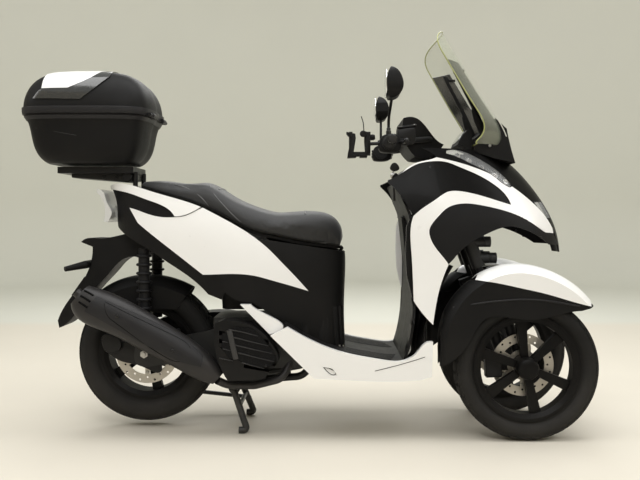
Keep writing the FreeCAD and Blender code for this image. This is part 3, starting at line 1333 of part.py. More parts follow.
def lever():
    """Brake lever from the switch housing to its ball end."""
    gx, gz = x_at(GRIP_SHARES[0]), z_at(GRIP_SHARES[1])
    start_y = -(GRIP_END_Y - GRIP_LENGTH - SWITCH_LENGTH / 2)
    root = Vector(gx, start_y, gz)
    knee = Vector(gx + LEVER_REACH, start_y - SWITCH_LENGTH / 2, gz)
    end = Vector(gx + LEVER_REACH, -GRIP_END_Y, gz - LEVER_R)
    return fuse(pipe([root, knee, end], LEVER_R, BAR_BEND_R), Part.makeSphere(LEVER_BALL_R, end))


def phone_holder():
    """Open cradle on a ball joint, clamped to the right of the bar."""
    x0, x1, low, high = (x_at(HOLDER_SHARES[0]), x_at(HOLDER_SHARES[1]), z_at(HOLDER_SHARES[2]),
                         z_at(HOLDER_SHARES[3]))
    y0, y1 = -HOLDER_Y - HOLDER_WIDTH / 2, -HOLDER_Y + HOLDER_WIDTH / 2
    outer = block(x0, x0 + HOLDER_ARM, y0, y1, low, high)
    inner = block(x1 - HOLDER_ARM, x1, y0, y1, low, high)
    base = block(x0, x1, y0, y1, low, low + HOLDER_ARM)
    gx, gz = x_at(GRIP_SHARES[0]), z_at(GRIP_SHARES[1])
    neck = cylinder(Vector(x1 - HOLDER_ARM / 2, -HOLDER_Y, (low + high) / 2), Vector(gx, -HOLDER_Y, gz),
                    HOLDER_ARM / 2)
    return fuse(outer, inner, base, neck)


def bar_cover():
    """Cover round the middle of the handlebar."""
    body = wide_prism(BAR_COVER_SHARES, COWL_HALF_WIDTH)
    right = [Vector(x_at(x), -w * BAR_COVER_HALF_WIDTH, 0) for x, w in BAR_COVER_PLAN_SHARES]
    left = [Vector(p.x, -p.y, p.z) for p in right]
    outline = Part.Wire([curve(right), curve([right[-1], left[-1]]), curve(left[::-1]),
                         curve([left[0], right[0]])])
    plan = Part.Face(outline).extrude(Vector(0, 0, CUT_REACH))
    return body.common(plan).cut(handlebar())


def mirrors():
    """Rounded mirror heads on their stems."""
    head = side_prism(MIRROR_SHARES, -MIRROR_Y - MIRROR_HALF_WIDTH, -MIRROR_Y + MIRROR_HALF_WIDTH)
    face = [Vector(0, -MIRROR_Y - w * MIRROR_HALF_WIDTH, z_at(z)) for z, w in MIRROR_FACE_SHARES]
    head = head.common(Part.Face(closed_curve(face)).extrude(Vector(CUT_REACH, 0, 0)))
    gx, gz = x_at(GRIP_SHARES[0]), z_at(GRIP_SHARES[1])
    foot = Vector(gx, -(GRIP_END_Y - GRIP_LENGTH - SWITCH_LENGTH / 2), gz + SWITCH_R)
    top = Vector(x_at(MIRROR_STEM_SHARES[0]), -MIRROR_Y, z_at(MIRROR_STEM_SHARES[1]))
    stem = pipe([foot, Vector(foot.x, foot.y, foot.z + MIRROR_STEM_RISE), top], MIRROR_STEM_R, BAR_BEND_R)
    return both(fuse(head, stem))


def engine():
    """Plain block for the engine, with its cylinder ahead."""
    x0, x1, z0, z1 = ENGINE_SHARES
    crank = block(x_at(x0), x_at(x1), -ENGINE_HALF_WIDTH, CASE_INNER_Y, z_at(z0), z_at(z1))
    x0, x1, z0, z1 = CYLINDER_SHARES
    head = block(x_at(x0), x_at(x1), -CYLINDER_HALF_WIDTH, CYLINDER_HALF_WIDTH, z_at(z0) - OVERRUN, z_at(z1))
    return fuse(crank, head)


def transmission_case():
    """Belt case on the left, from the crank to the rear axle."""
    case = side_prism(CASE_SHARES, CASE_INNER_Y, CASE_INNER_Y + CASE_WIDTH)
    return case


def radiator_cover():
    """Louvred cover on the right of the engine."""
    face_y = -RAD_COVER_FACE_Y
    cover = side_prism(RAD_COVER_SHARES, face_y, face_y + RAD_COVER_DEPTH)
    x0, x1, z_top = LOUVRE_SHARES
    drop, front, back = LOUVRE_DROP_SHARES
    slots = []
    for index in range(LOUVRES):
        dx = index * LOUVRE_STEP_SHARES[0]
        top = z_top + index * LOUVRE_STEP_SHARES[1]
        runs = (((x0 + dx, top),), ((x1 + dx, top - front),), ((x1 + dx, top - back),),
                ((x0 + dx, top - drop),))
        slots.append(side_prism(runs, face_y - OVERRUN, face_y + RAD_COVER_DEPTH / 2))
    for runs in LOUVRE_TAIL_SHARES:
        slots.append(side_prism(runs, face_y - OVERRUN, face_y + RAD_COVER_DEPTH / 2))
    return cover.cut(Part.makeCompound(slots))


def muffler_form(lift):
    """Muffler as one closed form, grown by a lift."""
    wires = []
    lean = math.radians(MUFFLER_TILT)
    up = Vector(math.sin(lean), 0, math.cos(lean))
    for x, z, height, width in MUFFLER_STATION_SHARES:
        centre = Vector(x_at(x), -MUFFLER_Y, z_at(z))
        half_h = height * SEAT_HEIGHT / 2 + lift
        half_w = width * MUFFLER_HALF_WIDTH + lift
        points = []
        for index in range(MUFFLER_POINTS):
            angle = 2 * math.pi * index / MUFFLER_POINTS
            points.append(centre + up * (half_h * math.sin(angle)) + Y_AXIS * (half_w * math.cos(angle)))
        wires.append(closed_curve(points))
    return Part.makeLoft(wires, True, False)


def exhaust(motor):
    """Muffler beside the rear wheel, its outlet and its pipe from the engine."""
    lean = math.radians(MUFFLER_TILT)
    back = Vector(-math.cos(lean), 0, math.sin(lean))
    root = Vector(x_at(MUFFLER_STATION_SHARES[0][0]), -MUFFLER_Y, z_at(MUFFLER_STATION_SHARES[0][1]))
    outlet = cylinder(root - back * OUTLET_LENGTH, root + back * OUTLET_LENGTH, OUTLET_R)
    mouth = cylinder(root, root + back * (2 * OUTLET_LENGTH), OUTLET_R - WALL)
    route = side_line(PIPE_SHARES, -PIPE_Y)
    route[0] = Vector(route[0].x, -MUFFLER_Y, route[0].z)
    route[-1] = Vector(route[-1].x, -ENGINE_HALF_WIDTH + PIPE_R, route[-1].z)
    return fuse(muffler_form(0), outlet, pipe(route, PIPE_R, BAR_BEND_R)).cut(mouth).cut(motor)


def muffler_guard():
    """Raised heat guard on the outside of the muffler."""
    shell = muffler_form(GUARD_LIFT).cut(muffler_form(0))
    return shell.common(side_prism(GUARD_SHARES, -MUFFLER_Y - 2 * MUFFLER_HALF_WIDTH, -MUFFLER_Y))


def rear_shock(case):
    """Damper with its coil spring."""
    top = Vector(x_at(SHOCK_TOP_SHARES[0]), -SHOCK_Y, z_at(SHOCK_TOP_SHARES[1]))
    low = Vector(x_at(SHOCK_BOTTOM_SHARES[0]), -SHOCK_Y, z_at(SHOCK_BOTTOM_SHARES[1]))
    damper = cylinder(low, top, SHOCK_BODY_R)
    rings = []
    span = (top - low) * COIL_SPAN_SHARE
    for index in range(SHOCK_COILS):
        spot = low + (top - low - span) / 2 + span * (index / (SHOCK_COILS - 1))
        rings.append(Part.makeTorus(SHOCK_COIL_R - SHOCK_WIRE_R, SHOCK_WIRE_R, spot, top - low))
    return both(fuse(damper, *rings)).cut(case)


def rear_caliper():
    """Right swing arm plate from the engine to the axle, with the caliper."""
    y0 = -SWING_ARM_Y - SWING_ARM_THICKNESS
    arm = side_prism(SWING_ARM_SHARES, y0, -SWING_ARM_Y)
    axle = cylinder(Vector(REAR_AXLE_X, y0, REAR_AXLE_Z), Vector(REAR_AXLE_X, CASE_INNER_Y, REAR_AXLE_Z),
                    AXLE_R)
    root_y = -SWING_ARM_Y - SWING_ARM_THICKNESS / 2
    grip = caliper(REAR_AXLE_X, REAR_AXLE_Z, REAR_DISC_R, -REAR_DISC_INSET, root_y, REAR_CALIPER_TURN)
    return fuse(arm, axle, grip)


def rear_hugger():
    """Inner mudguard close over the rear wheel."""
    outer = wheel_core(HUGGER_STATION_SHARES, REAR_TYRE_R, HUGGER_HALF_WIDTH, REAR_AXLE_X, REAR_AXLE_Z, 0)
    inner = wheel_core(HUGGER_STATION_SHARES, REAR_TYRE_R, HUGGER_HALF_WIDTH, REAR_AXLE_X, REAR_AXLE_Z,
                       FENDER_WALL)
    above = block(-CUT_REACH, CUT_REACH, -CUT_REACH, CUT_REACH,
                  REAR_AXLE_Z + REAR_TYRE_R * HUGGER_FOOT_SHARE, CUT_REACH)
    return outer.cut(inner).common(above)


def centre_stand():
    """Two legs, a cross tube and the foot lever outside the belt case."""
    pivot = Vector(x_at(STAND_PIVOT_SHARES[0]), 0, z_at(STAND_PIVOT_SHARES[1]))
    foot = Vector(x_at(STAND_FOOT_SHARES[0]), 0, z_at(STAND_FOOT_SHARES[1]) + STAND_TUBE_R)
    spread = STAND_FOOT_SPREAD - STAND_HALF_WIDTH
    cross = cylinder(pivot - Y_AXIS * STAND_HALF_WIDTH, pivot + Y_AXIS * STAND_HALF_WIDTH, STAND_TUBE_R)
    heel = foot - Y_AXIS * STAND_FOOT_SPREAD
    leg = pipe([pivot - Y_AXIS * STAND_HALF_WIDTH, heel, heel - Vector(STAND_FOOT_TOE, 0, 0)],
               STAND_TUBE_R, STAND_TUBE_R)
    tie_mid = pivot + (foot - pivot) * STAND_TIE_SHARE
    tie_y = Y_AXIS * (STAND_HALF_WIDTH + spread * STAND_TIE_SHARE)
    tie = cylinder(tie_mid - tie_y, tie_mid + tie_y, STAND_TUBE_R - WALL)
    root = pivot + (foot - pivot) * STAND_PEG_SHARE + Y_AXIS * (STAND_HALF_WIDTH + spread * STAND_PEG_SHARE)
    peg_y = CASE_INNER_Y + CASE_WIDTH + GAP + STAND_PEG_R
    peg = pipe([root] + side_line(STAND_PEG_SHARES, peg_y), STAND_PEG_R, BAR_BEND_R)
    return fuse(cross, leg, mirrored(leg), tie, peg)


def side_stand():
    """Folded side stand on the left."""
    pivot = Vector(x_at(SIDE_PIVOT_SHARES[0]), SIDE_STAND_Y, z_at(SIDE_PIVOT_SHARES[1]))
    tip = Vector(x_at(SIDE_TIP_SHARES[0]), SIDE_STAND_Y, z_at(SIDE_TIP_SHARES[1]))
    leg = cylinder(pivot, tip, SIDE_STAND_R)
    eye = cylinder(pivot - Y_AXIS * SIDE_STAND_R, pivot + Y_AXIS * SIDE_STAND_R, 2 * SIDE_STAND_R)
    pad = cylinder(tip - Y_AXIS * SIDE_STAND_R, tip + Y_AXIS * SIDE_STAND_R, 2 * SIDE_STAND_R)
    bore = cylinder(pivot - Y_AXIS * OVERRUN, pivot + Y_AXIS * OVERRUN, SIDE_PIN_R + PIN_FIT)
    return fuse(leg, eye, pad).cut(bore)


def box_wire(level, scale, inset):
    """Squared round outline of the top box at one level."""
    front = x_at(BOX_FRONT_X_SHARE)
    rear = x_at(BOX_REAR_X_SHARE)
    middle = (front + rear) / 2
    half_x = (front - rear) / 2 * scale - inset
    half_y = BOX_HALF_WIDTH * scale - inset
    points = []
    for index in range(BOX_POINTS):
        angle = 2 * math.pi * index / BOX_POINTS
        c, s = math.cos(angle), math.sin(angle)
        power = 2.0 / BOX_SQUARENESS
        px = math.copysign(abs(c) ** power, c)
        py = math.copysign(abs(s) ** power, s)
        points.append(Vector(middle + half_x * px, half_y * py, level))
    return closed_curve(points)


def box_tub():
    """Hollow lower half of the top box, with its hinge knuckles."""
    outer = Part.makeLoft([box_wire(z_at(z), s, 0) for z, s in TUB_LEVEL_SHARES], True, False)
    inner_levels = [(z_at(z) + BOX_WALL, s) for z, s in TUB_LEVEL_SHARES]
    inner = Part.makeLoft([box_wire(z, s, BOX_WALL) for z, s in inner_levels], True, False)
    knuckle = hinge_knuckle(LID_HINGE_Y, -LID_HINGE_R)
    return outer.fuse([knuckle, mirrored(knuckle)]).cut(inner)


def hinge_knuckle(y, drop):
    """Hinge barrel in front of the box with its leaf, below or above the pin."""
    x, z = x_at(LID_HINGE_SHARES[0]), z_at(LID_HINGE_SHARES[1])
    start = Vector(x, -y - LID_HINGE_LENGTH / 2, z)
    barrel = cylinder(start, start + Y_AXIS * LID_HINGE_LENGTH, LID_HINGE_R)
    near, far = (z + drop, z + drop / 3) if drop < 0 else (z + drop / 3, z + drop)
    leaf = block(x - LID_LEAF_LENGTH, x, start.y, start.y + LID_HINGE_LENGTH, near, far)
    return fuse(barrel, leaf)


def lid_form(inset, drop):
    """Dome of the lid, drawn in by an inset."""
    return Part.makeLoft([box_wire(z_at(z) - drop, s, inset) for z, s in LID_LEVEL_SHARES], True, False)


def box_lid():
    """Hollow lid with its hinge knuckles and rear latch."""
    knuckle = hinge_knuckle(LID_HINGE_Y - LID_HINGE_LENGTH - SEAM, LID_HINGE_R)
    tip = -(FRONT_AXLE_X + FRONT_TYRE_R)
    low, high = LATCH_SHARES
    latch = block(tip, x_at(BOX_REAR_X_SHARE) + OVERRUN, -LATCH_HALF_WIDTH, LATCH_HALF_WIDTH, z_at(low),
                  z_at(high))
    latch = latch.makeFillet(LATCH_FILLET, latch.Edges)
    return lid_form(0, 0).fuse([knuckle, mirrored(knuckle), latch]).cut(lid_form(BOX_WALL, BOX_WALL))


def lid_trims():
    """White panel and clear lens that lie on the lid."""
    shell = lid_form(-LID_COVER_LIFT, -LID_COVER_LIFT).cut(lid_form(0, 0))
    panel = wide_prism(LID_COVER_SHARES, CUT_REACH)
    lens = wide_prism(LID_LENS_SHARES, CUT_REACH).cut(panel)
    return {"lid_cover": shell.common(panel), "lid_lens": shell.common(lens)}


def rack(rails):
    """Carrier under the top box, down to the grab rail."""
    x0, x1, low, high = RACK_SHARES
    plate = block(x_at(x0), x_at(x1), -RACK_HALF_WIDTH, RACK_HALF_WIDTH, z_at(low), z_at(high))
    foot = pipe(side_line(RACK_FOOT_SHARES, -FRAME_TAIL_Y), RACK_TUBE_R)
    return fuse(plate, foot, mirrored(foot)).cut(rails)


def instrument_panel():
    """Instrument pod between the screen and the bar cover."""
    return wide_prism(POD_SHARES, POD_HALF_WIDTH)


def front_nodes(tubes):
    """Cowl panels, shields, screen and floor."""
    nodes = front_panels()
    shield, screen = leg_shield(), windscreen()
    base = screen_base(screen)
    nodes["leg_shield"] = shield
    nodes["arch_liner"] = arch_liner(nodes["front_cowl"], tubes)
    nodes["screen_base"] = base
    nodes["windscreen"] = screen
    nodes["screen_stays"] = screen_stays(screen, base)
    nodes["instrument_panel"] = instrument_panel()
    nodes["floorboard"] = floorboard(shield)
    nodes["side_skirts"] = side_skirts()
    return nodes


def rear_nodes(tubes):
    """Rear panels, seat, bin, rack and top box."""
    nodes = rear_panels()
    pad = seat()
    nodes["tail_lamp"] = tail_lamp()
    nodes["rear_fender"] = rear_fender()
    nodes["seat"] = pad
    nodes["seat_base"] = seat_base(pad)
    nodes["storage_bin"] = storage_bin()
    nodes["rack"] = rack(tubes)
    nodes["box_tub"] = box_tub()
    nodes["box_lid"] = box_lid()
    nodes.update(lid_trims())
    return nodes


def drive_nodes():
    """Engine, case, exhaust, rear suspension and stands."""
    motor, case = engine(), transmission_case()
    return {
        "engine": motor,
        "transmission_case": case,
        "radiator_cover": radiator_cover(),
        "exhaust": exhaust(motor),
        "muffler_guard": muffler_guard(),
        "rear_shocks": rear_shock(case),
        "rear_hugger": rear_hugger(),
        "rear_caliper": rear_caliper(),
        "centre_stand": centre_stand(),
        "side_stand": side_stand(),
    }


def front_wheel_nodes(name, side):
    """Fork, mudguard, tyre, rim and disc of one front wheel."""
    skirt, cap = front_fender(side)
    y = side * WHEEL_Y
    disc_y = y - side * DISC_INSET
    return {
        "fork_" + name: fork(-1) if side < 0 else mirrored(fork(-1)),
        "fender_" + name: skirt,
        "fender_cap_" + name: cap,
        "front_tyre_" + name: tyre(FRONT_TYRE_R, FRONT_TYRE_WIDTH, FRONT_RIM_R, FRONT_AXLE_X, y,
                                   FRONT_AXLE_Z),
        "front_rim_" + name: rim(FRONT_RIM_R, FRONT_TYRE_WIDTH, FRONT_AXLE_X, y, FRONT_AXLE_Z),
        "front_disc_" + name: brake_disc(FRONT_DISC_R, FRONT_AXLE_X, disc_y, FRONT_AXLE_Z),
    }


def build():
    """All nodes by name."""
    tubes = frame()
    nodes = {"frame": tubes, "tilt_linkage": Part.makeCompound([tilt_arms(), steering_knuckles()])}
    nodes.update(front_nodes(tubes))
    nodes.update(rear_nodes(tubes))
    nodes.update(drive_nodes())
    nodes.update({"handlebar": handlebar(), "bar_cover": bar_cover(), "mirrors": mirrors(),
                  "tie_rod": tie_rod()})
    nodes.update(front_wheel_nodes("left", 1))
    nodes.update(front_wheel_nodes("right", -1))
    nodes["rear_tyre"] = tyre(REAR_TYRE_R, REAR_TYRE_WIDTH, REAR_RIM_R, REAR_AXLE_X, 0, REAR_AXLE_Z)
    nodes["rear_rim"] = rim(REAR_RIM_R, REAR_TYRE_WIDTH, REAR_AXLE_X, 0, REAR_AXLE_Z)
    nodes["rear_disc"] = brake_disc(REAR_DISC_R, REAR_AXLE_X, -REAR_DISC_INSET, REAR_AXLE_Z)
    return nodes


def main():
    """Write one file per node."""
    os.makedirs("parts", exist_ok=True)
    for name, shape in build().items():
        shape = keep(shape)
        shape.exportStep("parts/" + name + ".step")
        box = shape.BoundBox
        print(name, len(shape.Solids), shape.isValid(), round(shape.Volume / 1000.0), [round(v) for v in (
            box.XMin, box.XMax, box.YMin, box.YMax, box.ZMin, box.ZMax)])


main()
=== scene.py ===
"""Looks of the leaning three-wheel scooter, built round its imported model."""

import json
import logging
import math
from dataclasses import dataclass
from enum import Enum

import bpy
from mathutils import Matrix, Vector
from mathutils.bvhtree import BVHTree

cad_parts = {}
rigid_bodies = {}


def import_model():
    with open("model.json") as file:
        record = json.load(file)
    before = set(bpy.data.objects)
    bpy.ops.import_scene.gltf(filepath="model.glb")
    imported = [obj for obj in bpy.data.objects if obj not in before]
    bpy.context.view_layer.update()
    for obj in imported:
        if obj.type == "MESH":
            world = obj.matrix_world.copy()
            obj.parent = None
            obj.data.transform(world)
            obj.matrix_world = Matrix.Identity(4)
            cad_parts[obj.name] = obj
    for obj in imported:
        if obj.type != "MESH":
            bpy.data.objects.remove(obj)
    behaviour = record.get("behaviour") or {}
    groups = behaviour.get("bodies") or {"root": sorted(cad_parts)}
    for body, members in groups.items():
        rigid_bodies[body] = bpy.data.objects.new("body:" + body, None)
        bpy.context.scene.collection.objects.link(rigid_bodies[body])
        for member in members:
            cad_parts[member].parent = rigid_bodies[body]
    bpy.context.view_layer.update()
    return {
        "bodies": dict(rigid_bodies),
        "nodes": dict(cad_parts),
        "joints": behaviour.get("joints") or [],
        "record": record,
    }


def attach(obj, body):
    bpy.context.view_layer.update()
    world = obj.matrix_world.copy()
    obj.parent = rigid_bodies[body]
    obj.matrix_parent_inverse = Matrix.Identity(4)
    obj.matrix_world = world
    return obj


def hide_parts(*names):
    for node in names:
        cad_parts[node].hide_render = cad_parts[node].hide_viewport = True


Line = tuple[tuple[float, float], ...]
Hit = tuple[Vector, Vector]

LOG = logging.getLogger("scooter")
SIDES = ((-1, "right"), (1, "left"))
AHEAD = Vector((1, 0, 0))
BACK = Vector((-1, 0, 0))
LEFT = Vector((0, 1, 0))
RIGHT = Vector((0, -1, 0))
UP = Vector((0, 0, 1))
DOWN = Vector((0, 0, -1))

REAR_AXLE = Vector((-0.572, 0.0, 0.277))
FRONT_AXLE_X = 0.778
FRONT_AXLE_Z = 0.250
WHEEL_Y = 0.1925
REAR_TYRE_R = 0.256
FRONT_TYRE_R = 0.250
WHEELBASE = 1.350
SEAT_HEIGHT = 0.780
CAMERA = Vector((0.0982, -2.860, 0.768))
VIEW_MID = (330.0, 218.0)
VIEW_FOCUS = 766.0
BEHIND_X = -1.3
FAR_LEFT_Y = 0.7


def x_at(share: float) -> float:
    """Place along the wheelbase, from the rear axle."""
    return REAR_AXLE.x + share * WHEELBASE


def z_at(share: float) -> float:
    """Height as a share of the seat height."""
    return share * SEAT_HEIGHT


def seen(px: float, py: float, y: float) -> Vector:
    """Spot in an upright plane along the scooter, from its place in the view.

    Args:
        px: Columns from the left of the view.
        py: Rows from its top.
        y: The plane's distance to the left of the middle.

    Returns:
        The spot.
    """
    scale = (y - CAMERA.y) / VIEW_FOCUS
    return Vector((CAMERA.x + (px - VIEW_MID[0]) * scale, y, CAMERA.z + (VIEW_MID[1] - py) * scale))


def flipped(spot: Vector) -> Vector:
    """The same spot on the other side of the scooter."""
    return Vector((spot.x, -spot.y, spot.z))


def rounded(points: Line, steps: int = 5) -> list[tuple[float, float]]:
    """Closed smooth line through some points.

    Args:
        points: Points that it passes.
        steps: Steps from each point to the next.

    Returns:
        The line's points.
    """
    line = []
    count = len(points)
    for index in range(count):
        p0, p1, p2, p3 = (Vector(points[(index + offset) % count]) for offset in (-1, 0, 1, 2))
        for step in range(steps):
            t = step / steps
            spot = 0.5 * (2 * p1 + (p2 - p0) * t + (2 * p0 - 5 * p1 + 4 * p2 - p3) * t * t
                          + (3 * p1 - p0 - 3 * p2 + p3) * t * t * t)
            line.append((spot.x, spot.y))
    return line


def both(hit: Hit) -> list[Hit]:
    """A place, and the same one on the other side of the scooter."""
    return [hit, (flipped(hit[0]), flipped(hit[1]))]


class Recipe(Enum):
    """How a finish is built from shader nodes."""

    MOULDED = "moulded"
    PAINT = "paint"
    VINYL = "vinyl"
    RUBBER = "rubber"
    CAST = "cast"
    TURNED = "turned"
    CLEAR = "clear"
    MIRROR = "mirror"


@dataclass(frozen=True)
class Finish:
    """One surface finish.

    Args:
        recipe: Which node recipe builds it.
        colour: Base colour, linear.
        roughness: Middle of the roughness.
        metallic: How metallic it is.
        specular: How strongly it reflects head-on.
        coat: Weight of a clear coat.
        grain: Grain cells per metre.
        height: Strength of the grain's bump.
        mottle: Share by which the colour varies.
        dust: How much pale road dust lies low down.
        alpha: Opacity of a clear sheet.
        slot: The record's slot, where it isn't the finish's own name; not used.
    """

    recipe: Recipe
    colour: tuple[float, float, float]
    roughness: float
    metallic: float = 0.0
    specular: float = 0.5
    coat: float = 0.0
    grain: float = 600.0
    height: float = 0.1
    mottle: float = 0.08
    dust: float = 0.0
    alpha: float = 1.0
    slot: str = ""


FINISHES: dict[str, Finish] = {
    "white_paint": Finish(Recipe.PAINT, (0.80, 0.795, 0.785), 0.30, coat=0.5, grain=900, height=0.015,
                          mottle=0.02, dust=0.06),
    "black_plastic": Finish(Recipe.MOULDED, (0.0055, 0.0053, 0.0053), 0.50, specular=0.14, grain=1400,
                            height=0.14, mottle=0.3, dust=0.05),
    "gloss_black": Finish(Recipe.PAINT, (0.0045, 0.0044, 0.0044), 0.34, specular=0.09, coat=0.03, grain=700,
                          height=0.01, mottle=0.15),
    "grey_plastic": Finish(Recipe.MOULDED, (0.0070, 0.0068, 0.0070), 0.46, specular=0.16, grain=1200,
                           height=0.12, mottle=0.25),
    "frame_black": Finish(Recipe.PAINT, (0.0060, 0.0060, 0.0062), 0.40, specular=0.2, coat=0.05, grain=500,
                          height=0.04, mottle=0.25, dust=0.05),
    "screen_clear": Finish(Recipe.CLEAR, (0.50, 0.53, 0.42), 0.05, alpha=0.20),
    "lamp_clear": Finish(Recipe.CLEAR, (0.42, 0.43, 0.44), 0.06, alpha=0.26, mottle=0.5),
    "seat_cover": Finish(Recipe.VINYL, (0.013, 0.013, 0.0135), 0.52, specular=0.42, grain=900, height=0.4,
                         mottle=0.25),
    "tyre_rubber": Finish(Recipe.RUBBER, (0.011, 0.0108, 0.0105), 0.74, specular=0.14, grain=500,
                          height=0.2, mottle=0.3, dust=0.10),
    "grip_rubber": Finish(Recipe.RUBBER, (0.010, 0.010, 0.010), 0.66, specular=0.35, grain=900, height=0.2,
                          mottle=0.2),
    "rim_black": Finish(Recipe.PAINT, (0.0036, 0.0034, 0.0034), 0.42, specular=0.09, coat=0.02, grain=500,
                        height=0.03, mottle=0.25, dust=0.04),
    "disc_steel": Finish(Recipe.TURNED, (0.46, 0.43, 0.38), 0.40, metallic=0.85, grain=2400, height=0.12,
                         mottle=0.1),
    "cast_alloy": Finish(Recipe.CAST, (0.016, 0.016, 0.016), 0.50, metallic=0.4, grain=1600, height=0.25,
                         mottle=0.3, dust=0.05),
    "dark_alloy": Finish(Recipe.CAST, (0.012, 0.012, 0.013), 0.46, metallic=0.2, specular=0.16, grain=1400,
                         height=0.2, mottle=0.3, dust=0.05),
    "muffler_black": Finish(Recipe.CAST, (0.020, 0.0185, 0.0185), 0.42, metallic=0.25, specular=0.42,
                            grain=1200, height=0.10, mottle=0.25, dust=0.04),
    "stand_steel": Finish(Recipe.PAINT, (0.010, 0.010, 0.010), 0.46, specular=0.4, coat=0.15, grain=700,
                          height=0.1, mottle=0.4, dust=0.08),
    "mirror_glass": Finish(Recipe.MIRROR, (0.85, 0.87, 0.88), 0.03, metallic=1.0, mottle=0.02),
    "bolt_steel": Finish(Recipe.TURNED, (0.42, 0.41, 0.39), 0.32, metallic=1.0, grain=1800, height=0.08,
                         mottle=0.15, slot="stand_steel"),
    "black_bolt": Finish(Recipe.TURNED, (0.035, 0.034, 0.034), 0.34, metallic=0.8, grain=1800, height=0.08,
                         mottle=0.2, slot="dark_alloy"),
    "lamp_bowl": Finish(Recipe.TURNED, (0.80, 0.80, 0.80), 0.16, metallic=1.0, grain=900, height=0.10,
                        mottle=0.05, slot="lamp_clear"),
    "tail_lens": Finish(Recipe.CLEAR, (0.66, 0.66, 0.65), 0.12, alpha=0.86, mottle=0.12, slot="lamp_clear"),
    "smoked_lens": Finish(Recipe.CLEAR, (0.030, 0.030, 0.029), 0.10, alpha=0.93, mottle=0.3,
                          slot="lamp_clear"),
    "lamp_red": Finish(Recipe.MOULDED, (0.30, 0.008, 0.006), 0.20, grain=500, height=0.05, mottle=0.1,
                       slot="lamp_clear"),
    "seam_shadow": Finish(Recipe.MOULDED, (0.002, 0.002, 0.002), 0.85, specular=0.1, grain=500, height=0.05,
                          mottle=0.2, slot="black_plastic"),
    # Slightly lighter black plastic: the muffler guard's own colour, and a painted highlight on the top box's
    # bands and the fender crease.
    "guard_plastic_and_highlight": Finish(Recipe.MOULDED, (0.014, 0.0135, 0.0145), 0.44, specular=0.24, grain=1600,
                            height=0.12, mottle=0.25, slot="black_plastic"),
    # Lighter copy of the grey plastic: a painted highlight on the slats' edges, the drive case's ribs and the
    # tub's step.
    "edge_highlight": Finish(Recipe.MOULDED, (0.026, 0.025, 0.025), 0.38, specular=0.4, grain=900, height=0.05,
                        mottle=0.3, slot="grey_plastic"),
    # Lighter copy of the seat cover: a painted highlight along the seat's seams.
    "piping": Finish(Recipe.VINYL, (0.055, 0.055, 0.057), 0.42, grain=1500, height=0.3, mottle=0.2,
                     slot="seat_cover"),
    "smoked_sheet": Finish(Recipe.CLEAR, (0.012, 0.011, 0.010), 0.16, alpha=0.80, mottle=0.3,
                           slot="screen_clear"),
    "screen_edge": Finish(Recipe.MOULDED, (0.30, 0.31, 0.12), 0.22, grain=500, height=0.03, mottle=0.15,
                          slot="screen_clear"),
    "display_glass": Finish(Recipe.PAINT, (0.060, 0.075, 0.065), 0.14, coat=0.8, grain=500, height=0.01,
                            mottle=0.1, slot="gloss_black"),
}
NODE_FINISHES = {
    "tail_lamp": "tail_lens", "lid_lens": "smoked_lens", "front_lamps": "lamp_clear",
    "muffler_guard": "guard_plastic_and_highlight",
}


class Wiring:
    """Node tree of one material, read in object coordinates."""

    def __init__(self, name: str) -> None:
        """Starts a material from its main shader.

        Args:
            name: Name of the material.
        """
        self.material = bpy.data.materials.new(name)
        self.material.use_nodes = True
        self.tree = self.material.node_tree
        self.shader = self.tree.nodes["Principled BSDF"]
        self.place = self.add("ShaderNodeTexCoord", "Object")

    def add(self, kind: str, output: str, inputs: dict[str | int, object] | None = None,
            **settings: str) -> bpy.types.NodeSocket:
        """Adds a node.

        Args:
            kind: Type of the node.
            output: Name of the socket that is handed back.
            inputs: Value, or socket to link, of each input.
            settings: Settings of the node itself.

        Returns:
            The output socket.
        """
        node = self.tree.nodes.new(kind)
        for key, value in settings.items():
            setattr(node, key, value)
        for key, value in (inputs or {}).items():
            self.feed(node, key, value)
        return node.outputs[output]

    def feed(self, node: bpy.types.Node, key: str | int, value: object) -> None:
        """Sets an input of a node.

        Args:
            node: The node.
            key: Name or number of the input.
            value: A plain value, or a socket to link.
        """
        if isinstance(value, bpy.types.NodeSocket):
            self.tree.links.new(value, node.inputs[key])
        else:
            node.inputs[key].default_value = value

    def noise(self, scale: float, detail: float) -> bpy.types.NodeSocket:
        """Noise at some scale and detail."""
        return self.add("ShaderNodeTexNoise", "Fac", {"Vector": self.place, "Scale": scale, "Detail": detail})

    def shades(self, factor: bpy.types.NodeSocket, colour: tuple[float, float, float],
               spread: float) -> bpy.types.NodeSocket:
        """Colour that a factor of 0 to 1 darkens or lightens by a share.

        Args:
            factor: Goes from 0 to 1.
            colour: Middle colour, linear.
            spread: Share by which it changes each way.

        Returns:
            The colour's socket.
        """
        shares = (1.0 - spread, 1.0 + spread)
        dark, light = ((*(min(1.0, part * share) for part in colour), 1.0) for share in shares)
        return self.mix(dark, light, factor)

    def mix(self, first: object, second: object, factor: bpy.types.NodeSocket) -> bpy.types.NodeSocket:
        """Colour between two colours or sockets, by a factor of 0 to 1."""
        values = {"A": first, "B": second, "Factor": factor}
        return self.add("ShaderNodeMix", "Result", values, data_type="RGBA")


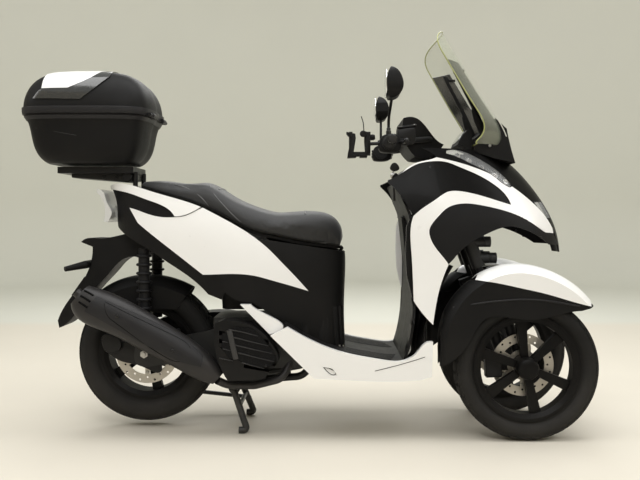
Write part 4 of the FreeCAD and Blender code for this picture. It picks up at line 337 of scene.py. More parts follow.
class Shaders:
    """Builds each finish once."""

    CLOUD = (7.0, 4.0)
    WEAR = (31.0, 5.0)
    WEAR_RANGE = (-0.07, 0.09)
    BUMP_DEPTH = 0.0006
    COAT_ROUGHNESS = 0.06
    CLEAR_SPECULAR = 0.9
    SHEEN = {"Sheen Weight": 0.12, "Sheen Roughness": 0.45}
    DUST_COLOUR = (0.32, 0.29, 0.25, 1.0)
    DUST_TOP = 0.40
    DUST_LEFT = 0.1

    def __init__(self) -> None:
        """Starts with nothing made."""
        self.made: dict[str, bpy.types.Material] = {}

    def get(self, name: str) -> bpy.types.Material:
        """Material of a finish.

        Args:
            name: Key in FINISHES.

        Returns:
            The material, built on first use.
        """
        if name not in self.made:
            self.made[name] = self._build(name, FINISHES[name])
        return self.made[name]

    def _build(self, name: str, finish: Finish) -> bpy.types.Material:
        """Node tree of one finish.

        Args:
            name: Name of the material.
            finish: What it looks like.

        Returns:
            The material.
        """
        wiring = Wiring(name)
        clear = finish.recipe is Recipe.CLEAR
        plain = {"Metallic": finish.metallic, "Alpha": finish.alpha, "Coat Weight": finish.coat,
                 "Coat Roughness": self.COAT_ROUGHNESS,
                 "Specular IOR Level": self.CLEAR_SPECULAR if clear else finish.specular}
        if finish.recipe is Recipe.VINYL:
            plain |= self.SHEEN
        cloud = wiring.noise(*self.CLOUD)
        shade = wiring.shades(cloud, finish.colour, finish.mottle)
        if finish.dust:
            shade = self._dust(wiring, cloud, shade, finish.dust)
        low, high = (min(1.0, max(0.0, finish.roughness + step)) for step in self.WEAR_RANGE)
        rough = wiring.add("ShaderNodeMapRange", "Result",
                           {"To Min": low, "To Max": high, "Value": wiring.noise(*self.WEAR)})
        bump = wiring.add("ShaderNodeBump", "Normal", {"Strength": finish.height, "Distance": self.BUMP_DEPTH,
                                                       "Height": self._grain(wiring, finish)})
        for key, value in (plain | {"Base Color": shade, "Roughness": rough, "Normal": bump}).items():
            wiring.feed(wiring.shader, key, value)
        return wiring.material

    def _dust(self, wiring: Wiring, cloud: bpy.types.NodeSocket, shade: bpy.types.NodeSocket,
              amount: float) -> bpy.types.NodeSocket:
        """Pale dust that thins out with height.

        Args:
            wiring: Node tree that it goes into.
            cloud: Where the dust gathers.
            shade: Colour under the dust.
            amount: How much lies at the floor.

        Returns:
            The dusty colour's socket.
        """
        level = wiring.add("ShaderNodeSeparateXYZ", "Z", {"Vector": wiring.place})
        fall = wiring.add("ShaderNodeMapRange", "Result", {
            "From Min": 0.0, "From Max": self.DUST_TOP, "To Min": amount, "To Max": amount * self.DUST_LEFT,
            "Value": level})
        veil = wiring.add("ShaderNodeMath", "Value", {0: fall, 1: cloud}, operation="MULTIPLY")
        return wiring.mix(shade, self.DUST_COLOUR, veil)

    @staticmethod
    def _grain(wiring: Wiring, finish: Finish) -> bpy.types.NodeSocket:
        """Height field of the recipe's surface.

        Args:
            wiring: Node tree that it goes into.
            finish: What it looks like.

        Returns:
            The height's socket.
        """
        if finish.recipe in (Recipe.VINYL, Recipe.MOULDED, Recipe.RUBBER):
            cells = {"Scale": finish.grain, "Vector": wiring.place}
            return wiring.add("ShaderNodeTexVoronoi", "Distance", cells)
        if finish.recipe is Recipe.TURNED:
            brushed = wiring.add("ShaderNodeMapping", "Vector", {"Scale": (1.0, 0.08, 1.0),
                                                                 "Vector": wiring.place})
            rings = {"Scale": finish.grain / 4, "Detail": 2.0, "Vector": brushed}
            return wiring.add("ShaderNodeTexNoise", "Fac", rings)
        return wiring.noise(finish.grain, 3.0)


class Bench:
    """Small wrappers that leave one finished object at the origin."""

    WELD = 0.00005

    @staticmethod
    def clear() -> None:
        """Object mode with nothing selected."""
        if bpy.context.object and bpy.context.object.mode != "OBJECT":
            bpy.ops.object.mode_set(mode="OBJECT")
        bpy.ops.object.select_all(action="DESELECT")

    @staticmethod
    def finish(name: str, angle: float = 35.0) -> bpy.types.Object:
        """Names the active object, bakes its place and shades it.

        Args:
            name: Name of the piece.
            angle: Edges sharper than this stay sharp, in degrees.

        Returns:
            The finished object.
        """
        piece = bpy.context.object
        piece.name = name
        piece.data.name = name
        bpy.ops.object.transform_apply(location=True, rotation=True, scale=True)
        bpy.ops.object.shade_smooth_by_angle(angle=math.radians(angle))
        return piece

    @classmethod
    def rod(cls, name: str, start: Vector, end: Vector, radius: float, sides: int = 32,
            bevel: float = 0.0) -> bpy.types.Object:
        """Round bar between two points, with softened ends.

        Args:
            name: Name of the piece.
            start: Where it starts.
            end: Where it ends.
            radius: Its radius.
            sides: Sides round it.
            bevel: Width of its softened edges.

        Returns:
            The piece.
        """
        cls.clear()
        along = end - start
        turn = along.to_track_quat("Z", "Y").to_euler()
        bpy.ops.mesh.primitive_cylinder_add(vertices=sides, radius=radius, depth=along.length,
                                            location=(start + end) / 2, rotation=turn)
        cls.soften(bevel)
        return cls.finish(name)

    @classmethod
    def turned(cls, name: str, profile: Line, sides: int = 32) -> bpy.types.Object:
        """Round piece that stands on the origin.

        Args:
            name: Name of the piece.
            profile: Height and radius of each ring, from foot to top.
            sides: Sides round it.

        Returns:
            The closed piece.
        """
        cls.clear()
        height, radius = profile[0]
        bpy.ops.mesh.primitive_circle_add(vertices=sides, radius=radius, fill_type="NGON",
                                          location=(0, 0, height))
        bpy.ops.object.mode_set(mode="EDIT")
        for top, reach in profile[1:]:
            bpy.ops.mesh.extrude_region_move(TRANSFORM_OT_translate={"value": (0, 0, top - height)})
            bpy.ops.transform.resize(value=(reach / radius, reach / radius, 1.0))
            height, radius = top, reach
        cls.outward()
        return cls.finish(name)

    @classmethod
    def plate(cls, name: str, outline: list[Vector], depth: Vector, bevel: float = 0.0) -> bpy.types.Object:
        """Outline pushed out along a direction, with softened edges.

        Args:
            name: Name of the piece.
            outline: Points round it.
            depth: Which way and how far it is pushed out.
            bevel: Width of its softened edges.

        Returns:
            The piece.
        """
        cls.clear()
        bpy.ops.mesh.primitive_circle_add(vertices=len(outline), radius=0.1, fill_type="NGON")
        piece = bpy.context.object
        for vertex, spot in zip(piece.data.vertices, outline):
            vertex.co = spot
        bpy.ops.object.mode_set(mode="EDIT")
        bpy.ops.mesh.extrude_region_move(TRANSFORM_OT_translate={"value": depth})
        cls.outward()
        cls.soften(bevel)
        return cls.finish(name)

    @classmethod
    def upright(cls, name: str, line: Line | list, y: float, depth: float,
                bevel: float = 0.0) -> bpy.types.Object:
        """Plate whose outline is given by lengths and heights."""
        return cls.plate(name, [Vector((x, y, z)) for x, z in line], Vector((0, depth, 0)), bevel)

    @classmethod
    def cutout(cls, name: str, line: Line | list, y: float, depth: float,
               bevel: float = 0.0) -> bpy.types.Object:
        """Plate whose outline is drawn in the view."""
        return cls.plate(name, [seen(px, py, y) for px, py in line], Vector((0, depth, 0)), bevel)

    @classmethod
    def soften(cls, width: float, segments: int = 2) -> None:
        """Rounds the sharp edges of the active object, where there is a width."""
        if width:
            cls.modify("BEVEL", width=width, segments=segments, limit_method="ANGLE")

    @classmethod
    def drape(cls, target: bpy.types.Object, reach: float, thick: float, offset: float, bevel: float) -> None:
        """Drops the active sheet onto a surface and makes it solid.

        Args:
            target: What it drops onto.
            reach: How far it may drop.
            thick: Thickness.
            offset: Side on which the thickness lies.
            bevel: Width of its softened edges.
        """
        cls.modify("SHRINKWRAP", target=target, wrap_method="PROJECT", use_project_z=True,
                   use_negative_direction=True, use_positive_direction=False, project_limit=reach)
        cls.modify("SOLIDIFY", thickness=thick, offset=offset)
        cls.soften(bevel, 1)

    @staticmethod
    def hold(piece: bpy.types.Object) -> None:
        """Makes a piece the active one and selects it."""
        bpy.context.view_layer.objects.active = piece
        piece.select_set(True)

    @staticmethod
    def edit() -> None:
        """Edit mode with everything selected."""
        bpy.ops.object.mode_set(mode="EDIT")
        bpy.ops.mesh.select_all(action="SELECT")

    @staticmethod
    def outward() -> None:
        """Turns every face outward and leaves edit mode."""
        bpy.ops.mesh.select_all(action="SELECT")
        bpy.ops.mesh.normals_make_consistent(inside=False)
        bpy.ops.object.mode_set(mode="OBJECT")

    @staticmethod
    def put(piece: bpy.types.Object, spot: Vector, out: Vector) -> bpy.types.Object:
        """Moves a piece that stands on the origin onto a surface.

        Args:
            piece: The piece.
            spot: Where its foot goes.
            out: Which way its top faces.

        Returns:
            The same piece.
        """
        turn = out.to_track_quat("Z", "Y").to_matrix().to_4x4()
        piece.data.transform(Matrix.Translation(spot) @ turn)
        return piece

    @classmethod
    def mirror(cls, piece: bpy.types.Object) -> bpy.types.Object:
        """Turns a piece over to the other side of the scooter.

        Args:
            piece: The piece.

        Returns:
            The same piece.
        """
        piece.data.transform(Matrix.Scale(-1.0, 4, LEFT))
        cls.clear()
        cls.hold(piece)
        bpy.ops.object.mode_set(mode="EDIT")
        cls.outward()
        return piece

    @classmethod
    def stamp(cls, name: str, template: bpy.types.Object, places: list[Hit]) -> bpy.types.Object:
        """One copy of a piece at each place, joined.

        Args:
            name: Name of the piece.
            template: The piece that is copied; it goes.
            places: Spot and outward direction of each copy.

        Returns:
            The piece.
        """
        copies = []
        for spot, out in places:
            piece = bpy.data.objects.new(name, template.data.copy())
            bpy.context.collection.objects.link(piece)
            copies.append(cls.put(piece, spot, out))
        bpy.data.objects.remove(template)
        return cls.join(name, copies)

    @classmethod
    def copy(cls, node: bpy.types.Object, name: str) -> bpy.types.Object:
        """Merged copy of a CAD node, active and selected.

        Args:
            node: The CAD node.
            name: Name of the piece.

        Returns:
            The copy.
        """
        cls.clear()
        piece = bpy.data.objects.new(name, node.data.copy())
        bpy.context.collection.objects.link(piece)
        cls.hold(piece)
        cls.edit()
        bpy.ops.mesh.remove_doubles(threshold=cls.WELD)
        bpy.ops.object.mode_set(mode="OBJECT")
        return piece

    @staticmethod
    def modify(kind: str, **values: object) -> None:
        """Adds a modifier to the active object and applies it.

        Args:
            kind: Type of the modifier.
            values: Its settings.
        """
        piece = bpy.context.object
        modifier = piece.modifiers.new(kind, kind)
        for key, value in values.items():
            setattr(modifier, key, value)
        bpy.ops.object.modifier_apply(modifier=modifier.name)

    @classmethod
    def join(cls, name: str, parts: list[bpy.types.Object]) -> bpy.types.Object:
        """One object from several.

        Args:
            name: Name of the whole.
            parts: The parts.

        Returns:
            The whole.
        """
        cls.clear()
        for part in parts:
            part.select_set(True)
        bpy.context.view_layer.objects.active = parts[0]
        if len(parts) > 1:
            bpy.ops.object.join()
        parts[0].name = name
        parts[0].data.name = name
        return parts[0]

    @classmethod
    def tube(cls, name: str, points: list[Vector], radius: float, sides: int = 6) -> bpy.types.Object:
        """Closed tube along a smooth line through the points.

        Args:
            name: Name of the piece.
            points: Points along the line.
            radius: Its radius.
            sides: Steps of its roundness.

        Returns:
            The piece.
        """
        cls.clear()
        curve = bpy.data.curves.new(name, "CURVE")
        curve.dimensions = "3D"
        curve.bevel_depth = radius
        curve.bevel_resolution = sides
        curve.use_fill_caps = True
        line = curve.splines.new("NURBS")
        line.points.add(len(points) - 1)
        for point, spot in zip(line.points, points):
            point.co = (*spot, 1.0)
        line.order_u = 3
        line.use_endpoint_u = True
        piece = bpy.data.objects.new(name, curve)
        bpy.context.collection.objects.link(piece)
        cls.hold(piece)
        bpy.ops.object.convert(target="MESH")
        return cls.finish(name, 60.0)


class Scooter:
    """Holds the frame and puts finished pieces on it."""

    def __init__(self, frame: dict, shaders: Shaders) -> None:
        """Starts with no ray targets.

        Args:
            frame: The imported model.
            shaders: Builds the finishes.
        """
        self.frame = frame
        self.shaders = shaders
        self.trees: dict[tuple[str, ...], BVHTree] = {}

    def place(self, piece: bpy.types.Object, body: str, finish: str) -> bpy.types.Object:
        """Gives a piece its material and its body.

        Args:
            piece: A finished object.
            body: CAD body that it rides on.
            finish: Key in FINISHES.

        Returns:
            The same piece.
        """
        piece.data.materials.clear()
        piece.data.materials.append(self.shaders.get(finish))
        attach(piece, body)
        LOG.info("%s on %s", piece.name, body)
        return piece

    def paint_nodes(self) -> None:
        """Every CAD node takes the finish of its record slot."""
        slots = {row["node"]: row["material_slot"] for row in self.frame["record"]["subparts"]}
        for name, node in self.frame["nodes"].items():
            for slot in node.material_slots:
                slot.material = self.shaders.get(NODE_FINISHES.get(name, slots[name]))

    def surface(self, *names: str) -> BVHTree:
        """Ray target made of CAD nodes.

        Args:
            names: CAD nodes that count.

        Returns:
            The ray target.
        """
        verts: list[Vector] = []
        faces: list[tuple[int, ...]] = []
        for name in names:
            mesh = self.frame["nodes"][name].data
            base = len(verts)
            verts.extend(vertex.co.copy() for vertex in mesh.vertices)
            faces.extend(tuple(base + index for index in polygon.vertices) for polygon in mesh.polygons)
        return BVHTree.FromPolygons(verts, faces)

    def sight(self, px: float, py: float, *names: str) -> Hit | None:
        """Spot on some nodes, and the outward normal there, that a place in the view shows."""
        look = Vector(((px - VIEW_MID[0]) / VIEW_FOCUS, 1.0, (VIEW_MID[1] - py) / VIEW_FOCUS)).normalized()
        return self.cast(CAMERA, look, *names)

    def cast(self, start: Vector, look: Vector, *names: str) -> Hit | None:
        """First spot on some nodes along a line, with its outward normal.

        Args:
            start: Where it starts.
            look: Its direction.
            names: CAD nodes that count.

        Returns:
            The spot and its outward normal, or None.
        """
        if names not in self.trees:
            self.trees[names] = self.surface(*names)
        spot, normal, _, _ = self.trees[names].ray_cast(start, look)
        if spot is None:
            LOG.warning("nothing of %s seen from %s", names, tuple(start))
            return None
        return spot, (normal if normal.dot(look) < 0 else -normal)

    def sights(self, line: Line, *names: str) -> list[Hit]:
        """What each place of a line in the view shows, without those that miss."""
        return [hit for hit in (self.sight(px, py, *names) for px, py in line) if hit]

    def gather(self, name: str, parts: list[bpy.types.Object], body: str, finish: str) -> None:
        """Joins some parts, if there are any, and places them."""
        if parts:
            self.place(Bench.join(name, parts), body, finish)

    def stud(self, name: str, radius: float, places: list[Hit], body: str, finish: str,
             sides: int = 20) -> None:
        """Sets a bolt head at each place, as one piece."""
        if places:
            self.place(Bench.stamp(name, Fasteners().head(radius, sides), places), body, finish)

    def boss(self, name: str, profile: Line, place: Hit, body: str, finish: str, sides: int = 32) -> None:
        """Stands a turned piece on a surface."""
        self.place(Bench.put(Bench.turned(name, profile, sides), *place), body, finish)

    def badge(self, name: str, line: Line, depth: float, bevel: float, hit: Hit | None, sink: float,
              finish: str) -> None:
        """Rounded plate on a surface of the chassis.

        Args:
            name: Name of the piece.
            line: Points that its outline passes.
            depth: Its thickness.
            bevel: Width of its softened edges.
            hit: Place and outward direction.
            sink: How far its back lies inside the surface.
            finish: Key in FINISHES.
        """
        if hit:
            outline = [Vector((x, y, 0)) for x, y in rounded(line, 4)]
            plate = Bench.plate(name, outline, Vector((0, 0, depth)), bevel)
            self.place(Bench.put(plate, hit[0] - hit[1] * sink, hit[1]), "chassis", finish)


SEAT_SEAMS = (
    ((174.5, 184.6), (189.5, 188.6), (201.0, 196.8), (207.7, 204.8), (214.0, 211.0)),
    ((209.4, 186.0), (212.7, 193.0), (221.0, 203.0), (234.0, 216.4), (245.8, 226.0), (260.8, 234.5),
     (275.7, 239.0), (300.0, 242.0), (326.0, 243.0)),
)
SEAT_CROSS_SEAMS = (0.2000, 0.4300)
SEAT_SKY = 1.2


@dataclass
class Cushion:
    """Padded seat that swells out of its foam.

    Args:
        voxel: Remesh size in metres.
        pressure: Cloth pressure.
        cap: Furthest that a point may move.
        shrink: How far the foam starts inside its solid.
        piping: Radius of the sewn lines.
        frames: Frames that the cloth runs for.
        ray_step: Distance from point to point of a cross seam.
    """

    voxel: float = 0.005
    pressure: float = 3.0
    cap: float = 0.006
    shrink: float = 0.003
    piping: float = 0.0024
    frames: int = 20
    ray_step: float = 0.0125

    def build(self, scooter: Scooter) -> None:
        """Makes the cushion in place of the CAD solid.

        Args:
            scooter: The scooter.
        """
        pad = Bench.copy(scooter.frame["nodes"]["seat"], "seat_cushion")
        Bench.edit()
        bpy.ops.transform.shrink_fatten(value=-self.shrink)
        bpy.ops.object.mode_set(mode="OBJECT")
        Bench.modify("REMESH", mode="VOXEL", voxel_size=self.voxel, use_smooth_shade=True)
        Bench.modify("SMOOTH", iterations=6, factor=0.5)
        self._swell(pad)
        Bench.modify("SUBSURF", levels=1)
        piece = Bench.finish("seat_cushion", 60.0)
        scooter.place(piece, "seat", "seat_cover")
        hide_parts("seat")

    def sew(self, scooter: Scooter) -> None:
        """Lays the piping lines over the swollen cover.

        Args:
            scooter: The scooter.
        """
        pad = bpy.data.objects["seat_cushion"]
        tree = BVHTree.FromPolygons([v.co.copy() for v in pad.data.vertices],
                                    [tuple(p.vertices) for p in pad.data.polygons])
        lines = []
        for number, seam in enumerate(SEAT_SEAMS):
            looks = [(seen(px, py, 0.0) - CAMERA).normalized() for px, py in seam]
            right = self._found(tree, [(CAMERA, look) for look in looks])
            if len(right) > 2:
                for spots in (right, [flipped(spot) for spot in right]):
                    lines.append(Bench.tube(f"seam_{number}", spots, self.piping))
        for x in SEAT_CROSS_SEAMS:
            starts = [Vector((x_at(x), index * self.ray_step, SEAT_SKY)) for index in range(-8, 9)]
            spots = self._found(tree, [(start, DOWN) for start in starts])
            lines.append(Bench.tube("cross_seam", spots, self.piping))
        # The piping takes the lighter finish, a painted highlight along the seams.
        scooter.gather("seat_piping", lines, "seat", "piping")

    @staticmethod
    def _found(tree: BVHTree, rays: list[Hit]) -> list[Vector]:
        """Spots where rays meet the cover."""
        return [spot for spot in (tree.ray_cast(*ray)[0] for ray in rays) if spot is not None]

    def _swell(self, pad: bpy.types.Object) -> None:
        """Runs the cloth, caps each point's travel and keeps the result.

        Args:
            pad: The cushion.
        """
        rest = [vertex.co.copy() for vertex in pad.data.vertices]
        cloth = pad.modifiers.new("Cloth", "CLOTH")
        cloth.settings.use_pressure = True
        cloth.settings.uniform_pressure_force = self.pressure
        cloth.settings.effector_weights.gravity = 0.0
        cloth.settings.quality = 4
        scene = bpy.context.scene
        for frame in range(1, self.frames + 1):
            scene.frame_set(frame)
        graph = bpy.context.evaluated_depsgraph_get()
        moved = [vertex.co.copy() for vertex in pad.evaluated_get(graph).data.vertices]
        pad.modifiers.remove(cloth)
        scene.frame_set(1)
        for vertex, start, end in zip(pad.data.vertices, rest, moved):
            step = end - start
            if step.length > self.cap:
                step *= self.cap / step.length
            vertex.co = start + step


@dataclass
class Grips:
    """Ribbed rubber sleeves on the bar ends."""

    x: float = x_at(0.647)
    z: float = z_at(1.317)
    inner_y: float = 0.234
    outer_y: float = 0.340
    radius: float = 0.0178
    rib: float = 0.0009
    ribs: int = 22

    def build(self, scooter: Scooter) -> None:
        """Makes both sleeves.

        Args:
            scooter: The scooter.
        """
        for side, word in SIDES:
            parts = []
            pitch = (self.outer_y - self.inner_y) / self.ribs
            for index in range(self.ribs):
                y = self.inner_y + pitch * (index + 0.5)
                Bench.clear()
                bpy.ops.mesh.primitive_torus_add(
                    major_segments=40, minor_segments=8, major_radius=self.radius - self.rib,
                    minor_radius=pitch * 0.46, location=(self.x, side * y, self.z),
                    rotation=(math.pi / 2, 0, 0))
                parts.append(Bench.finish("rib"))
            flange = Bench.rod("flange", Vector((self.x, side * (self.inner_y - 0.006), self.z)),
                               Vector((self.x, side * self.inner_y, self.z)), self.radius + 0.006, 40, 0.0015)
            parts.append(flange)
            scooter.gather("grip_sleeve_" + word, parts, "handlebar", "grip_rubber")


@dataclass(frozen=True)
class TreadRow:
    """One row of tread blocks.

    Args:
        inner: Distance of its inner edge from the middle of the tyre.
        outer: Distance of its outer edge.
        lead: How far the outer edge runs ahead of the inner one.
        fill: Share of the pitch that a block takes.
    """

    inner: float
    outer: float
    lead: float
    fill: float


@dataclass
class Tyre:
    """Road tyre with cut tread, built over the plain CAD tyre.

    Args:
        node: CAD node that it takes the place of.
        body: Body that it rides on.
        centre: Middle of the wheel.
        radius: Outer radius of the tyre.
        steps: Blocks round the wheel.
        rows: Rows of blocks on one side of the middle.
        depth: Depth of the grooves.
        wall: How far below the crown the carcass keeps its full size.
        fade: Over what height it gives way to the grooves' depth.
    """

    node: str
    body: str
    centre: Vector
    radius: float
    steps: int
    rows: tuple[TreadRow, ...]
    depth: float = 0.0042
    wall: float = 0.030
    fade: float = 0.012

    def build(self, scooter: Scooter) -> None:
        """Makes the carcass and its blocks as one piece.

        Args:
            scooter: The scooter.
        """
        parts = [self._carcass(scooter)]
        for row in self.rows:
            for side in (-1, 1):
                parts.append(self._row(scooter, row, side))
        piece = Bench.join(self.node.replace("tyre", "road_tyre"), parts)
        scooter.place(piece, self.body, "tyre_rubber")
        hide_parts(self.node)

    def _carcass(self, scooter: Scooter) -> bpy.types.Object:
        """Copy of the plain tyre whose crown lies a groove's depth lower.

        Args:
            scooter: The scooter.

        Returns:
            The piece.
        """
        piece = Bench.copy(scooter.frame["nodes"][self.node], "carcass")
        for vertex in piece.data.vertices:
            arm = Vector((vertex.co.x - self.centre.x, 0, vertex.co.z - self.centre.z))
            share = (arm.length - (self.radius - self.wall)) / self.fade
            sink = self.depth * max(0.0, min(1.0, share))
            vertex.co -= arm.normalized() * sink
        return Bench.finish("carcass", 40.0)

    def _row(self, scooter: Scooter, row: TreadRow, side: int) -> bpy.types.Object:
        """One row of blocks, modelled once and spun round the axle.

        Args:
            scooter: The scooter.
            row: The row.
            side: -1 for the right, 1 for the left.

        Returns:
            The piece.
        """
        Bench.clear()
        pitch = 2 * math.pi * self.radius / self.steps
        middle = (row.inner + row.outer) / 2
        width = row.outer - row.inner
        spot = self.centre + Vector((0, side * middle, self.radius + 0.01))
        bpy.ops.mesh.primitive_grid_add(x_subdivisions=3, y_subdivisions=5, size=1.0, location=spot)
        block = bpy.context.object
        bpy.ops.transform.resize(value=(pitch * row.fill, width, 1.0))
        bpy.ops.object.transform_apply(location=True, rotation=True, scale=True)
        for vertex in block.data.vertices:
            across = (side * (vertex.co.y - self.centre.y) - row.inner) / width
            vertex.co.x += row.lead * across
        Bench.drape(scooter.frame["nodes"][self.node], reach=0.08, thick=self.depth * 1.3, offset=-1.0,
                    bevel=0.0007)
        Bench.edit()
        bpy.ops.mesh.normals_make_consistent(inside=False)
        bpy.ops.mesh.spin(steps=self.steps, dupli=True, angle=2 * math.pi, center=self.centre, axis=(0, 1, 0))
        bpy.ops.object.mode_set(mode="OBJECT")
        return Bench.finish("blocks", 40.0)


def tyres() -> list[Tyre]:
    """The three tyres of the scooter.

    Returns:
        The tyres.
    """
    front = (TreadRow(0.0035, 0.0160, 0.010, 0.80), TreadRow(0.0185, 0.0320, 0.013, 0.80),
             TreadRow(0.0335, 0.0415, 0.010, 0.74))
    rear = (TreadRow(0.0040, 0.0260, 0.012, 0.80), TreadRow(0.0290, 0.0520, 0.015, 0.84))
    made = [Tyre("rear_tyre", "rear_wheel", REAR_AXLE, REAR_TYRE_R, 34, rear)]
    for side, word in SIDES:
        centre = Vector((FRONT_AXLE_X, side * WHEEL_Y, FRONT_AXLE_Z))
        made.append(Tyre(f"front_tyre_{word}", f"wheel_{word}", centre, FRONT_TYRE_R, 36, front))
    return made


@dataclass
class FloorMat:
    """Raised ribs on the two foot boards."""

    x_from: float = -0.02
    x_to: float = 0.335
    first_y: float = 0.082
    pitch: float = 0.0165
    ribs: int = 7
    width: float = 0.0085
    rise: float = 0.0018

    def build(self, scooter: Scooter) -> None:
        """Makes the ribs and lays them on the floor.

        Args:
            scooter: The scooter.
        """
        parts = []
        floor = scooter.frame["nodes"]["floorboard"]
        for side in (-1, 1):
            for index in range(self.ribs):
                Bench.clear()
                y = side * (self.first_y + index * self.pitch)
                bpy.ops.mesh.primitive_grid_add(x_subdivisions=48, y_subdivisions=2, size=1.0,
                                                location=((self.x_from + self.x_to) / 2, y, 0.45))
                bpy.ops.transform.resize(value=(self.x_to - self.x_from - 0.008 * index, self.width, 1.0))
                bpy.ops.object.transform_apply(location=True, rotation=True, scale=True)
                Bench.drape(floor, reach=0.3, thick=self.rise + 0.0006, offset=0.5, bevel=0.0006)
                parts.append(Bench.finish("rib"))
        scooter.gather("floor_ribs", parts, "chassis", "grey_plastic")


@dataclass
class CoolingCore:
    """Upright fins and thin sloping slats in the side of the cooling cover."""

    top: Line = ((222.0, 333.0), (233.0, 331.5), (234.0, 326.0), (252.0, 328.0), (263.0, 338.0),
                 (273.0, 350.0), (276.0, 360.0))
    foot: Line = ((222.0, 348.0), (228.5, 358.0), (232.5, 360.0), (236.0, 358.5), (243.0, 363.0),
                  (262.0, 368.0), (271.0, 366.5), (276.0, 361.0))
    slats: tuple[Line, ...] = (
        ((228.7, 328.9), (242.0, 331.4), (258.0, 335.8)), ((232.2, 336.3), (248.3, 340.6), (268.7, 345.6)),
        ((235.0, 344.4), (251.8, 348.6), (272.4, 353.2)), ((238.2, 352.1), (256.0, 357.0), (274.0, 361.2)),
        ((242.0, 361.9), (252.0, 365.0), (264.4, 368.2)), ((222.5, 341.0), (225.0, 341.4), (228.0, 342.2)),
        ((223.0, 348.2), (226.0, 349.0), (230.4, 350.4)), ((219.5, 357.4), (226.0, 359.0), (232.8, 360.6)),
    )
    post: Line = ((226.6, 330.5), (232.0, 330.0), (238.6, 358.8), (233.4, 359.6))
    step: float = 0.85
    gap: float = 0.6
    shortest: float = 1.5
    face_y: float = -0.2262
    fin_gap: float = 0.0004
    fin_half: float = 0.0007
    fin_depth: float = 0.0016
    slat_height: float = 0.0036
    slat_depth: float = 0.0055
    post_depth: float = 0.0045

    @staticmethod
    def level(line: Line, px: float) -> float:
        """Row of a line at some column.

        Args:
            line: Columns and rows along the line.
            px: Column of the view.

        Returns:
            The row.
        """
        for (x0, y0), (x1, y1) in zip(line, line[1:]):
            if x0 <= px <= x1:
                return y0 + (y1 - y0) * (px - x0) / (x1 - x0)
        return line[0][1] if px < line[0][0] else line[-1][1]

    def build(self, scooter: Scooter) -> None:
        """Makes the very dark core plate, a painted shade in the cover's recess, and its fins and the slats
        in front of them.

        Args:
            scooter: The scooter.
        """
        # A flat plate in the seam shadow finish: painted shade where the cover's recess lies.
        core = Bench.cutout("cooling_core_shade", self.top + self.foot[::-1], self.face_y, -0.0006)
        scooter.place(core, "chassis", "seam_shadow")
        fins = []
        px = self.top[0][0] + self.step
        while px < self.top[-1][0] - 1.0:
            top, foot = self.level(self.top, px) + self.gap, self.level(self.foot, px) - self.gap
            if foot - top > self.shortest:
                low, high = (seen(px, row, self.face_y - self.fin_gap) for row in (foot, top))
                lip = AHEAD * self.fin_half
                fin = [low - lip, low + lip, high + lip, high - lip]
                fins.append(Bench.plate("fin", fin, RIGHT * self.fin_depth))
            px += self.step
        scooter.gather("cooling_fins", fins, "chassis", "dark_alloy")
        # The slats take a lighter finish, a painted highlight along their edges.
        slats = []
        for line in self.slats:
            front = [seen(px, py, self.face_y) for px, py in line]
            back = [spot - UP * self.slat_height * share for spot, share in zip(front, (1.0, 0.7, 0.4))]
            slats.append(Bench.plate("slat", front + back[::-1], RIGHT * self.slat_depth, bevel=0.0007))
        slats.append(Bench.cutout("post", self.post, self.face_y, -self.post_depth, bevel=0.0012))
        scooter.gather("cooling_slats", slats, "chassis", "edge_highlight")


@dataclass(frozen=True)
class Mark:
    """Some lines that lie on a panel.

    Args:
        name: Name of the piece.
        body: Body that it rides on.
        finish: Key in FINISHES.
        nodes: CAD nodes that the lines are cast on.
        radius: Half of the lines' width.
        both: Whether the left side has them too.
        lines: Places in the view along each line.
    """

    name: str
    body: str
    finish: str
    nodes: tuple[str, ...]
    radius: float
    both: bool
    lines: tuple[Line, ...]


